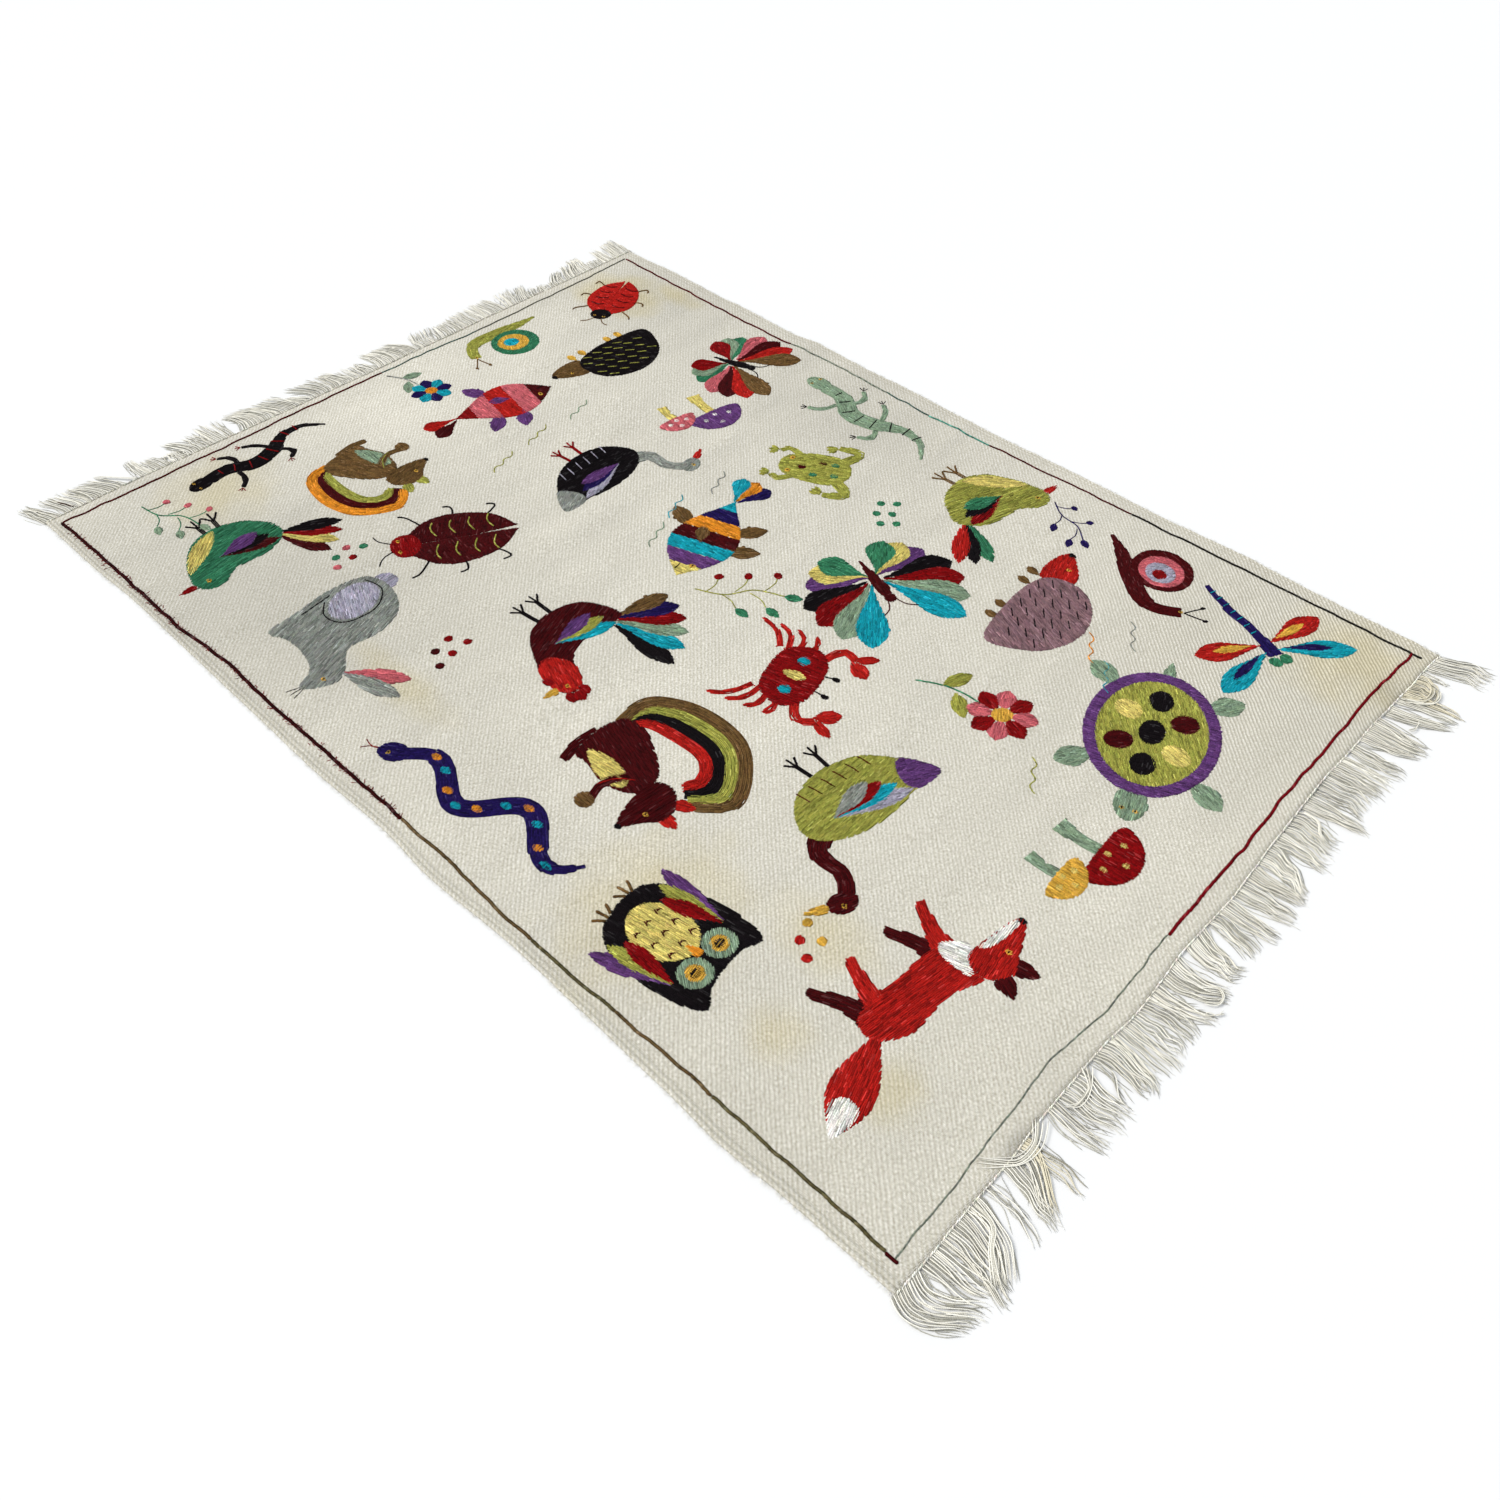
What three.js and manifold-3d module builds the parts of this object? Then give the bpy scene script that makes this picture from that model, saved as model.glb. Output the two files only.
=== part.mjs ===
// Embroidered kilim rug: a flat-woven woollen ground laid on a floor, its warp ends left as fringe.
// Millimetres, +Z up. X runs across the rug and Y along it, from the near end to the far end.
// The origin is the middle of the ground's underside, on the floor.
import * as THREE from "three";
import Module from "manifold-3d";

// The woven ground as it would measure pulled flat, and its thickness between the selvedges.
const WIDTH = 1500;
const LENGTH = 2050;
const THICK = 2.6;

// Each long side is bound over two cords: distance in from the side, and the thickness there.
const SELVEDGE = [
  { inward: 0, thick: 1.5 },
  { inward: 3.5, thick: 3.5 },
  { inward: 7, thick: 2.1 },
  { inward: 10.5, thick: 3.3 },
  { inward: 14, thick: 2.2 },
  { inward: 20, thick: THICK },
];

// How far the hand-woven sides and ends stand out from the straight line, at places along them.
const SIDES = {
  left: [
    { at: -1014, out: -2 },
    { at: -864, out: 0 },
    { at: -752, out: 7 },
    { at: -640, out: 2 },
    { at: -490, out: -1 },
    { at: -340, out: -3 },
    { at: -150, out: 5 },
    { at: -38, out: -2 },
    { at: 150, out: 3 },
    { at: 340, out: 0 },
    { at: 480, out: -2 },
    { at: 700, out: -5 },
    { at: 850, out: 0 },
  ],
  right: [
    { at: -1014, out: 0 },
    { at: -940, out: 2 },
    { at: -864, out: 0 },
    { at: -640, out: 5 },
    { at: -489, out: -1 },
    { at: -263, out: 0 },
    { at: -113, out: -4 },
    { at: 190, out: 2 },
    { at: 260, out: 0 },
    { at: 412, out: 5 },
    { at: 487, out: -5 },
    { at: 640, out: 0 },
    { at: 713, out: -3 },
    { at: 863, out: 2 },
    { at: 1013, out: -3 },
  ],
};
const ENDS = {
  near: [
    { at: -750, out: 0 },
    { at: -520, out: 4 },
    { at: -420, out: -4 },
    { at: -200, out: -3 },
    { at: 100, out: -2 },
    { at: 400, out: -5 },
    { at: 566, out: -14 },
    { at: 625, out: -3 },
    { at: 750, out: 0 },
  ],
  far: [
    { at: -750, out: -1 },
    { at: -450, out: 2 },
    { at: -180, out: -1 },
    { at: 150, out: -3 },
    { at: 330, out: 1 },
    { at: 750, out: 0 },
  ],
};
// The share of a side's or end's wander that is left inside the rug falls off with these powers.
const SIDE_FADE = 3;
const END_FADE = 12;

// Soft ripples: the middle of each crest, the turn of the crest line from X, its length and
// width on the floor, and its height.
const RIPPLES = [
  { x: -340, y: 510, turn: 4, long: 300, wide: 110, high: 6 },
  { x: 210, y: 508, turn: -6, long: 300, wide: 100, high: 5 },
  { x: -385, y: -22, turn: 2, long: 320, wide: 80, high: 5 },
  { x: -370, y: -98, turn: -3, long: 280, wide: 80, high: 5.5 },
  { x: 655, y: 415, turn: 5, long: 240, wide: 100, high: 5 },
  { x: 660, y: 118, turn: -8, long: 240, wide: 90, high: 5 },
  { x: 178, y: 930, turn: 62, long: 190, wide: 90, high: 5 },
  { x: 585, y: -158, turn: 6, long: 260, wide: 100, high: 5 },
  { x: 570, y: -325, turn: -5, long: 260, wide: 110, high: 5.5 },
  { x: -45, y: -470, turn: 8, long: 260, wide: 100, high: 4.5 },
  { x: 95, y: -600, turn: -4, long: 280, wide: 100, high: 5 },
  { x: -545, y: -385, turn: 10, long: 280, wide: 120, high: 6 },
  { x: 590, y: -955, turn: 74, long: 130, wide: 110, high: 6 },
  { x: -60, y: 300, turn: -3, long: 340, wide: 120, high: 4 },
  { x: -200, y: 760, turn: 5, long: 320, wide: 120, high: 4.5 },
];

// The grid that the ground is drawn on: cells across between the selvedges, the spacing of
// the rows along it, and how near an extra row at a ripple may come to the next row.
const CELLS_ACROSS = 20;
const ROW_STEP = 48;
const ROWS_APART = 17;
// Places across a ripple, as shares of its width, that get a row of their own.
const RIPPLE_ROWS = [-0.25, 0, 0.25];
const LEVEL_TURN = 20;

// The fringe: loose warp ends, gathered in locks that lie on the floor.
const SEAM = 0.3;
const STRIP = { deep: 4, thick: 2.3 };
const ROOT_IN_STRIP = 2.5;
const END_MARGIN = 7;
const LOCK_SHAPE = [
  { along: 0, wide: 4.6, thick: 1.8 },
  { along: 0.3, wide: 7.6, thick: 2.7 },
  { along: 0.68, wide: 5.2, thick: 2.1 },
];
const FRINGES = [
  {
    name: "fringe_near",
    end: "near",
    locks: 140,
    long: 94,
    uneven: 0.08,
    lean: 3,
    sways: [
      { reach: 7.5, every: 143, from: 20 },
      { reach: 2.2, every: 61, from: 0 },
    ],
  },
  {
    name: "fringe_far",
    end: "far",
    locks: 134,
    long: 65,
    uneven: 0.06,
    lean: -30,
    sways: [
      { reach: 6, every: 190, from: 45 },
      { reach: 3, every: 70, from: 10 },
    ],
  },
];
const SWAY_POWER = 1.5;
const STRAY = 1.2;
const FRINGE_SEED = 41;

// Undyed wool and the paler cotton-like warp.
const WOOL = { color: 0xd4d1c5, roughness: 0.95, metalness: 0 };
const WARP = { color: 0xdedacd, roughness: 0.95, metalness: 0 };

const wasm = await Module();
wasm.setup();

const ease = (share) => share * share * (3 - 2 * share);

// Reads a column of a table at a place, easing from each row to the next.
function read(table, key, place, column) {
  const after = table.findIndex((row) => row[key] > place);
  if (after === 0) {
    return table[0][column];
  }
  if (after < 0) {
    return table[table.length - 1][column];
  }
  const low = table[after - 1];
  const high = table[after];
  const share = ease((place - low[key]) / (high[key] - low[key]));
  return THREE.MathUtils.lerp(low[column], high[column], share);
}

// Where a point of the straight rug lies in the hand-woven one, seen from above.
function woven(across, along) {
  const sideShare = Math.abs((2 * across) / WIDTH) ** SIDE_FADE;
  const endShare = Math.abs((2 * along) / LENGTH) ** END_FADE;
  const side = across < 0 ? SIDES.left : SIDES.right;
  const end = along < 0 ? ENDS.near : ENDS.far;
  return new THREE.Vector3(
    across + Math.sign(across) * sideShare * read(side, "at", along, "out"),
    along + Math.sign(along) * endShare * read(end, "at", across, "out"),
    0,
  );
}

// A hump of height 1 in the middle that meets the floor level at half a span to each side.
const hump = (offset, span) =>
  Math.abs(offset) < span / 2 ? Math.cos((Math.PI * offset) / span) ** 2 : 0;

// How high the ground's underside is off the floor.
function lift(across, along) {
  let height = 0;
  for (const ripple of RIPPLES) {
    const turn = THREE.MathUtils.degToRad(ripple.turn);
    const dx = across - ripple.x;
    const dy = along - ripple.y;
    const onCrest = dx * Math.cos(turn) + dy * Math.sin(turn);
    const overCrest = dy * Math.cos(turn) - dx * Math.sin(turn);
    height += ripple.high * hump(onCrest, ripple.long) * hump(overCrest, ripple.wide);
  }
  return height;
}

// Thickness across the rug: even, and corded at the two sides.
const thickness = (across) =>
  read(SELVEDGE, "inward", WIDTH / 2 - Math.abs(across), "thick");

// Grid lines across the rug: those of the selvedge cords, and even cells between them.
function linesAcross() {
  const edge = SELVEDGE.map((row) => WIDTH / 2 - row.inward);
  const inner = edge[edge.length - 1];
  const cell = (2 * inner) / CELLS_ACROSS;
  const between = Array.from({ length: CELLS_ACROSS - 1 }, (_, i) => (i + 1) * cell - inner);
  return [...edge.map((place) => -place), ...between, ...edge.reverse()];
}

// Grid lines along the rug: even rows, with more of them over each ripple that lies across it.
function linesAlong() {
  const rows = Math.round(LENGTH / ROW_STEP);
  const wanted = Array.from({ length: rows + 1 }, (_, i) => (i / rows - 0.5) * LENGTH);
  const level = RIPPLES.filter((ripple) => Math.abs(ripple.turn) < LEVEL_TURN);
  for (const share of RIPPLE_ROWS) {
    for (const ripple of level) {
      wanted.push(ripple.y + share * ripple.wide);
    }
  }
  wanted.sort((a, b) => a - b);
  const kept = [wanted[0]];
  for (const place of wanted) {
    if (place - kept[kept.length - 1] >= ROWS_APART) {
      kept.push(place);
    }
  }
  kept[kept.length - 1] = LENGTH / 2;
  return kept;
}

// A closed solid between an upper and a lower sheet of points on the same grid. Rows run
// towards +Y and the points in a row towards +X.
function slab(upper, lower) {
  const rows = upper.length;
  const columns = upper[0].length;
  const points = [...upper.flat(), ...lower.flat()];
  const top = (r, c) => r * columns + c;
  const under = (r, c) => rows * columns + top(r, c);
  const faces = [];
  const quad = (a, b, c, d) => faces.push(a, b, c, a, c, d);
  for (let r = 0; r < rows - 1; r += 1) {
    for (let c = 0; c < columns - 1; c += 1) {
      quad(top(r, c), top(r, c + 1), top(r + 1, c + 1), top(r + 1, c));
      quad(under(r, c), under(r + 1, c), under(r + 1, c + 1), under(r, c + 1));
    }
  }
  const lastRow = rows - 1;
  const lastColumn = columns - 1;
  for (let c = 0; c < lastColumn; c += 1) {
    quad(under(0, c), under(0, c + 1), top(0, c + 1), top(0, c));
    quad(under(lastRow, c + 1), under(lastRow, c), top(lastRow, c), top(lastRow, c + 1));
  }
  for (let r = 0; r < lastRow; r += 1) {
    quad(under(r + 1, 0), under(r, 0), top(r, 0), top(r + 1, 0));
    quad(under(r, lastColumn), under(r + 1, lastColumn), top(r + 1, lastColumn), top(r, lastColumn));
  }
  return { points, faces };
}

function toGeometry({ points, faces }) {
  const geometry = new THREE.BufferGeometry().setFromPoints(points);
  geometry.setIndex(faces);
  geometry.computeVertexNormals();
  return geometry;
}

function toSolid({ points, faces }) {
  const vertProperties = new Float32Array(points.flatMap((point) => point.toArray()));
  const triVerts = new Uint32Array(faces);
  return new wasm.Manifold(new wasm.Mesh({ numProp: 3, vertProperties, triVerts }));
}

function fromSolid(solid) {
  const { vertProperties, triVerts } = solid.getMesh();
  const geometry = new THREE.BufferGeometry();
  geometry.setAttribute("position", new THREE.BufferAttribute(vertProperties, 3));
  geometry.setIndex(new THREE.BufferAttribute(triVerts, 1));
  geometry.computeVertexNormals();
  return geometry;
}

// The cloth in one piece: flat on the floor, lifted only where it ripples.
function wovenGround() {
  const across = linesAcross();
  const lower = linesAlong().map((y) =>
    across.map((x) => woven(x, y).setZ(lift(x, y))),
  );
  const upper = lower.map((row) =>
    row.map((point, i) => point.clone().setZ(point.z + thickness(across[i]))),
  );
  return toGeometry(slab(upper, lower));
}

// The cloth's end line as its grid draws it, moved outwards by the seam.
function seamLine(side) {
  return linesAcross().map((x) => {
    const point = woven(x, (side * LENGTH) / 2);
    return point.setY(point.y + side * SEAM);
  });
}

// The point of a seam line at a place across the rug.
function onSeam(line, x) {
  const after = line.findIndex((point) => point.x > x);
  const share = (x - line[after - 1].x) / (line[after].x - line[after - 1].x);
  return line[after - 1].clone().lerp(line[after], share);
}

// The narrow strip that the locks grow from. It follows the cloth's end line, a seam away.
function strip(side) {
  const near = seamLine(side);
  const far = near.map((point) => point.clone().setY(point.y + side * STRIP.deep));
  const lower = side > 0 ? [near, far] : [far, near];
  const upper = lower.map((row) => row.map((point) => point.clone().setZ(STRIP.thick)));
  return slab(upper, lower);
}

// One lock: a low three-sided spindle whose flat side lies on the floor, drawn out to a point.
const CORNERS = 3;
function lock(root, tip, side) {
  const bend = (along) =>
    new THREE.Vector3(
      root.x + (tip.x - root.x) * along ** SWAY_POWER,
      THREE.MathUtils.lerp(root.y, tip.y, along),
      0,
    );
  const points = LOCK_SHAPE.flatMap(({ along, wide, thick }) => {
    const middle = bend(along);
    const left = middle.clone().setX(middle.x - (side * wide) / 2);
    const right = middle.clone().setX(middle.x + (side * wide) / 2);
    return [left, right, middle.setZ(thick)];
  });
  points.push(bend(1));
  const end = points.length - 1;
  const lastRing = end - CORNERS;
  const faces = [0, 1, 2];
  for (let corner = 0; corner < CORNERS; corner += 1) {
    const next = (corner + 1) % CORNERS;
    for (let ring = 0; ring < lastRing; ring += CORNERS) {
      const a = ring + corner;
      const b = ring + next;
      faces.push(a, a + CORNERS, b + CORNERS, a, b + CORNERS, b);
    }
    faces.push(lastRing + corner, end, lastRing + next);
  }
  return { points, faces };
}

// How far a lock's tip lies to the side of its root.
function sway(fringe, x) {
  return fringe.sways.reduce(
    (sum, wave) => sum + wave.reach * Math.sin((2 * Math.PI * (x - wave.from)) / wave.every),
    fringe.lean,
  );
}

// All the warp ends of one end of the rug, fused at their roots into the strip.
function fringe(spec) {
  const side = spec.end === "near" ? -1 : 1;
  const stray = () => 2 * THREE.MathUtils.seededRandom() - 1;
  THREE.MathUtils.seededRandom(FRINGE_SEED);
  const pitch = (WIDTH - 2 * END_MARGIN) / (spec.locks - 1);
  const line = seamLine(side);
  let solid = toSolid(strip(side));
  for (let i = 0; i < spec.locks; i += 1) {
    const x = i * pitch + END_MARGIN - WIDTH / 2;
    const root = onSeam(line, x);
    root.y += side * (STRIP.deep - ROOT_IN_STRIP);
    const long = spec.long * (1 + spec.uneven * stray());
    const tip = new THREE.Vector3(
      root.x + sway(spec, x) + STRAY * stray(),
      root.y + side * long,
      0,
    );
    solid = solid.add(toSolid(lock(root, tip, side)));
  }
  return fromSolid(solid);
}

function piece(name, geometry, finish) {
  const mesh = new THREE.Mesh(geometry, new THREE.MeshStandardMaterial(finish));
  mesh.name = name;
  return mesh;
}

const rug = new THREE.Group();
rug.add(piece("woven_ground", wovenGround(), WOOL));
for (const spec of FRINGES) {
  rug.add(piece(spec.name, fringe(spec), WARP));
}

export default rug;
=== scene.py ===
# %% [markdown]
# # An embroidered kilim rug
# A kilim is woven flat, with no pile, and its warp ends are left hanging as a fringe. This one is
# of undyed wool, and creatures and plants are worked over it in coloured thread. The script
# dresses a solid model of the rug, which is loaded first and never moved.

# %% Load the solid rug
import math

import bpy
import numpy as np
from mathutils import Matrix, Vector, noise
from mathutils.bvhtree import BVHTree


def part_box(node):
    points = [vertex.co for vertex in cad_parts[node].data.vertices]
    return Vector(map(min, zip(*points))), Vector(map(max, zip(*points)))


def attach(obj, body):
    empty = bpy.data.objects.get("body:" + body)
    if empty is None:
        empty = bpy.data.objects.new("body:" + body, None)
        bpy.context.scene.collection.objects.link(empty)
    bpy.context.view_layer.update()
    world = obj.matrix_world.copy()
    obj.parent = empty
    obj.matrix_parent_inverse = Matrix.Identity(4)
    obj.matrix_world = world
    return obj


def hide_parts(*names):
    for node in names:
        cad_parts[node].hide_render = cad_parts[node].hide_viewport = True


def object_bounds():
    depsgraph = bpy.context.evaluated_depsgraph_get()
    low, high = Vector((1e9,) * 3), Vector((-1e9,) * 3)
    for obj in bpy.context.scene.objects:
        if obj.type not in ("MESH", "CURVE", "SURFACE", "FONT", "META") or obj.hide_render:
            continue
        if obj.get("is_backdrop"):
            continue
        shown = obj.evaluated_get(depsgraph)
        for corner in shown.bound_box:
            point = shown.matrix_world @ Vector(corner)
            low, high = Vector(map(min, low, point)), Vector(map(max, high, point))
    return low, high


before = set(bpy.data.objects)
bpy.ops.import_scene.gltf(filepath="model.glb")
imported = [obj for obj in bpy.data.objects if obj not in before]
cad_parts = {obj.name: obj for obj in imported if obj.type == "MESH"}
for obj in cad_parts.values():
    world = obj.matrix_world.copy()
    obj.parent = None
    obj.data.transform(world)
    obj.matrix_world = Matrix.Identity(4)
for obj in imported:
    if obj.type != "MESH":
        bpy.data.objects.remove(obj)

MM = 0.001
CAD_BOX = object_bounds()
print("solid rug, metres:", [round(side, 3) for side in CAD_BOX[1] - CAD_BOX[0]])

# %% [markdown]
# ## The outline
# A hand-woven rug is never quite straight. Its sides could be drawn again here, but then there
# would be two versions of one edge. Instead they are read off the solid: every edge of its mesh
# that crosses a chosen line gives a point there, and the outermost two are the rug's own edges.

# %% Read the outline
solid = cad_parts["woven_ground"].data
corners = np.empty(len(solid.vertices) * 3)
solid.vertices.foreach_get("co", corners)
corners = corners.reshape(-1, 3)
ends_of_edges = np.empty(len(solid.edges) * 2, int)
solid.edges.foreach_get("vertices", ends_of_edges)
ends_of_edges = ends_of_edges.reshape(-1, 2)
GROUND_LOW, GROUND_HIGH = (np.array(corner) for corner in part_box("woven_ground"))
# Lines nearer to the corners than this would miss the cloth, whose edges wander in and out.
INSET = (12 * MM, 20 * MM)


def outermost(axis, places):
    """The lowest and highest reach of the cloth along each line at a place on the axis."""
    a, b = corners[ends_of_edges[:, 0]], corners[ends_of_edges[:, 1]]
    found = []
    least, most = GROUND_LOW[axis] + INSET[axis], GROUND_HIGH[axis] - INSET[axis]
    for place in np.clip(places, least, most):
        across = (a[:, axis] < place) != (b[:, axis] < place)
        p, q = a[across], b[across]
        share = (place - p[:, axis]) / (q[:, axis] - p[:, axis])
        reach = p[:, 1 - axis] + share * (q[:, 1 - axis] - p[:, 1 - axis])
        found.append((reach.min(), reach.max()))
    return np.array(found).T


print("width at the middle, mm:", round(float(np.ptp(outermost(1, [0.0]))) / MM, 1))

# %% [markdown]
# ## The grid of the cloth
# The cloth is one closed sheet on a grid. Rows and columns sit about 11 mm apart, which is fine
# enough for the ripples. Each long side is bound over two cords, and there the columns come closer
# so that the cords are round. The near end was beaten in unevenly, so its edge runs a few
# millimetres in and out of the solid's; a table gives how far.

# %% Lay out the grid
# Place across the rug, and how far in the near edge lies from the solid's there. Minus is out.
NEAR_TRIM = [
    (-745, -6), (-685, -6), (-630, -3), (-590, -2), (-490, -1), (-435, -4), (-300, -4), (-245, -9),
    (-215, -9), (-160, -6), (-105, -2), (-50, -3), (36, -5), (90, -2), (121, -1), (150, 1.5),
    (205, 2), (250, 3), (330, 4.5), (360, 4.4), (390, 2), (445, 0), (500, -4), (556, -8), (585, -8),
    (612, -6), (641, -4), (670, -1), (725, -1), (750, -4),
]
SELVEDGE_COLUMNS = np.array([0, 0.6, 1.8, 3.4, 5, 6.4, 7.4, 8.8, 10.4, 12, 13.4, 14.6, 17, 20]) * MM
CELL = 10.8 * MM
CLOTH = 2.6 * MM

half_wide = (GROUND_HIGH[0] - GROUND_LOW[0]) / 2
half_long = (GROUND_HIGH[1] - GROUND_LOW[1]) / 2
row_count = round(2 * half_long / CELL)
inner_count = round(2 * half_wide / CELL)
along = np.linspace(-half_long, half_long, row_count)
left, right = outermost(1, along)
inner_shares = np.linspace(0, 1, inner_count)[1:-1]
flat_x = np.array(
    [
        np.concatenate(
            [
                west + SELVEDGE_COLUMNS,
                west + SELVEDGE_COLUMNS[-1]
                + inner_shares * (east - west - 2 * SELVEDGE_COLUMNS[-1]),
                east - SELVEDGE_COLUMNS[::-1],
            ]
        )
        for west, east in zip(left, right)
    ]
)
near, far = outermost(0, flat_x[row_count // 2])
near = near + np.interp(flat_x[row_count // 2], *(np.array(NEAR_TRIM).T * MM))
row_shares = np.linspace(0, 1, row_count)[:, None]
flat_y = near + row_shares * (far - near)
print("grid of the cloth:", flat_x.shape)

# %% [markdown]
# ## Ripples and unevenness
# The cloth lies in low ripples that a foot has pushed up. Their height is taken from the solid by
# casting a ray up to its underside at each grid point. The solid has coarse facets, so the heights
# are averaged with their neighbours a few times. Hand weaving also leaves the surface a little
# uneven all over, which smooth noise gives. Most of these waves run across the rug, since a warp
# is never equally tight all along. Small creases are added from a table.

# %% Lift the grid
SMOOTHINGS = 5
NEIGHBOUR = 0.25
# How long the waves are across and along the rug, and how high.
UNEVEN = [
    (90 * MM, 90 * MM, 1.0 * MM),
    (34 * MM, 34 * MM, 0.45 * MM),
    (190 * MM, 40 * MM, 2.8 * MM),
]
# Middle of each small crease, the turn of its line from X, its length and width, and its height.
CREASES = [
    dict(x=-440, y=620, turn=-12, long=210, wide=46, high=2.6),
    dict(x=-300, y=430, turn=8, long=190, wide=40, high=2.7),
    dict(x=-520, y=60, turn=14, long=180, wide=42, high=3.2),
    dict(x=-250, y=-60, turn=-6, long=160, wide=36, high=2.7),
    dict(x=-620, y=-250, turn=24, long=170, wide=46, high=3.2),
    dict(x=-180, y=-330, turn=-10, long=230, wide=50, high=2.7),
    dict(x=330, y=300, turn=5, long=210, wide=44, high=2.7),
    dict(x=560, y=260, turn=-14, long=170, wide=38, high=3.0),
    dict(x=640, y=-30, turn=10, long=170, wide=40, high=3.2),
    dict(x=430, y=-560, turn=-8, long=240, wide=52, high=2.7),
    dict(x=-330, y=-880, turn=18, long=200, wide=54, high=2.7),
    dict(x=640, y=-700, turn=-20, long=150, wide=44, high=2.7),
    dict(x=20, y=640, turn=-4, long=260, wide=50, high=2.4),
    dict(x=420, y=760, turn=12, long=200, wide=44, high=2.7),
]


def hump(offset, span):
    """1 in the middle, easing down to 0 half a span away on both sides."""
    return np.where(np.abs(offset) < span / 2, np.cos(np.pi * offset / span) ** 2, 0)


def smoothed(heights):
    """Each height averaged with its neighbours along and across the rug."""
    padded = np.pad(heights, 1, mode="edge")
    rows = padded[:-2, 1:-1] + padded[2:, 1:-1]
    columns = padded[1:-1, :-2] + padded[1:-1, 2:]
    return (1 - 2 * NEIGHBOUR) * heights + NEIGHBOUR * (rows + columns) / 2


solid_tree = BVHTree.FromObject(
    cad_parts["woven_ground"], bpy.context.evaluated_depsgraph_get()
)


def underside(x, y):
    """How high the solid's underside is above the floor."""
    hit = solid_tree.ray_cast(Vector((x, y, -1)), Vector((0, 0, 1)))[0]
    return hit.z if hit else 0.0


lift = np.vectorize(underside)(flat_x, flat_y)
for _ in range(SMOOTHINGS):
    lift = smoothed(lift)
for crease in CREASES:
    turn = math.radians(crease["turn"])
    dx, dy = flat_x - crease["x"] * MM, flat_y - crease["y"] * MM
    on_line = dx * math.cos(turn) + dy * math.sin(turn)
    over_line = dy * math.cos(turn) - dx * math.sin(turn)
    shape = hump(on_line, crease["long"] * MM) * hump(over_line, crease["wide"] * MM)
    lift = lift + crease["high"] * MM * shape
for long, wide, height in UNEVEN:
    waves = np.vectorize(lambda x, y: noise.noise(Vector((x / long, y / wide, 0))))
    lift = lift + height * np.maximum(waves(flat_x, flat_y), 0)
print("highest ripple, mm:", round(float(lift.max()) / MM, 1))

# %% [markdown]
# ## The cloth
# A sheet needs a top, an underside and a rim to be a closed body. The two faces share one grid,
# so the rim is a strip of quads between their borders. The thickness is even, but for the cords.

# %% Build the cloth
CORD_PROFILE = np.array([1.3, 2.4, 3.3, 3.6, 3.3, 2.4, 2.1, 2.9, 3.3, 3.2, 2.6, 2.2, 2.4, 2.6]) * MM


def new_object(name, points, faces):
    """A mesh object from an array of points and a list of arrays of faces."""
    mesh = bpy.data.meshes.new(name)
    corner_count = sum(face.size for face in faces)
    face_count = sum(len(face) for face in faces)
    sizes = np.concatenate([np.full(len(face), face.shape[1]) for face in faces])
    mesh.vertices.add(len(points))
    mesh.vertices.foreach_set("co", np.asarray(points, np.float32).ravel())
    mesh.loops.add(corner_count)
    flat = np.concatenate([face.ravel() for face in faces])
    mesh.loops.foreach_set("vertex_index", flat.astype(np.int32))
    mesh.polygons.add(face_count)
    starts = np.concatenate([[0], np.cumsum(sizes)[:-1]])
    mesh.polygons.foreach_set("loop_start", starts.astype(np.int32))
    mesh.update(calc_edges=True)
    mesh.shade_smooth()
    made = bpy.data.objects.new(name, mesh)
    bpy.context.scene.collection.objects.link(made)
    return made


def triangles_of(piece):
    """How many triangles a piece has."""
    piece.data.calc_loop_triangles()
    return len(piece.data.loop_triangles)


def grid_quads(grid):
    """Quads that turn counter-clockwise, seen from above, over a grid of point numbers."""
    return np.stack(
        [grid[:-1, :-1], grid[:-1, 1:], grid[1:, 1:], grid[1:, :-1]], axis=-1
    ).reshape(-1, 4)


inner = np.full(flat_x.shape[1] - 2 * len(CORD_PROFILE), CLOTH)
thick = np.concatenate([CORD_PROFILE, inner, CORD_PROFILE[::-1]])
low = np.stack([flat_x, flat_y, lift], axis=-1)
high = np.stack([flat_x, flat_y, lift + thick], axis=-1)
upper = np.arange(flat_x.size).reshape(flat_x.shape)
lower = upper + flat_x.size
border = np.concatenate([upper[0], upper[1:, -1], upper[-1, -2::-1], upper[-2:0:-1, 0]])
after = np.roll(border, -1)
rim = np.stack([border + flat_x.size, after + flat_x.size, after, border], axis=-1)
cloth = new_object(
    "woven_cloth",
    np.concatenate([high.reshape(-1, 3), low.reshape(-1, 3)]),
    [grid_quads(upper), grid_quads(lower)[:, ::-1], rim],
)
print("cloth triangles:", triangles_of(cloth))

# %% [markdown]
# ## Stains, wear and painted shade
# Age has left faint yellow stains. They belong to places on the rug and have no sharp edge, so
# each point of the cloth carries a number for how stained it is, which the material will read.
# A second number tells how much paler or darker the wool is made, in two small places as painted
# shade. A third is painted shade in the grooves between the cords of the two sides, and a fourth
# says where the weave is worn open, so that the painted shade of its grooves and hollows is
# stronger.

# %% Mark the stains, the wear and the painted shade
STAINS = [
    dict(x=-547, y=200, wide=60, long=190, strong=0.5),
    dict(x=-572, y=-437, wide=225, long=190, strong=0.55),
    dict(x=-591, y=-700, wide=70, long=70, strong=0.45),
    dict(x=-429, y=-637, wide=90, long=130, strong=0.5),
    dict(x=-554, y=-862, wide=80, long=80, strong=0.5),
    dict(x=590, y=888, wide=130, long=165, strong=1.0),
    dict(x=677, y=788, wide=50, long=110, strong=0.7),
    dict(x=627, y=-925, wide=190, long=190, strong=0.6),
    dict(x=-475, y=880, wide=160, long=170, strong=0.55),
]
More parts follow.
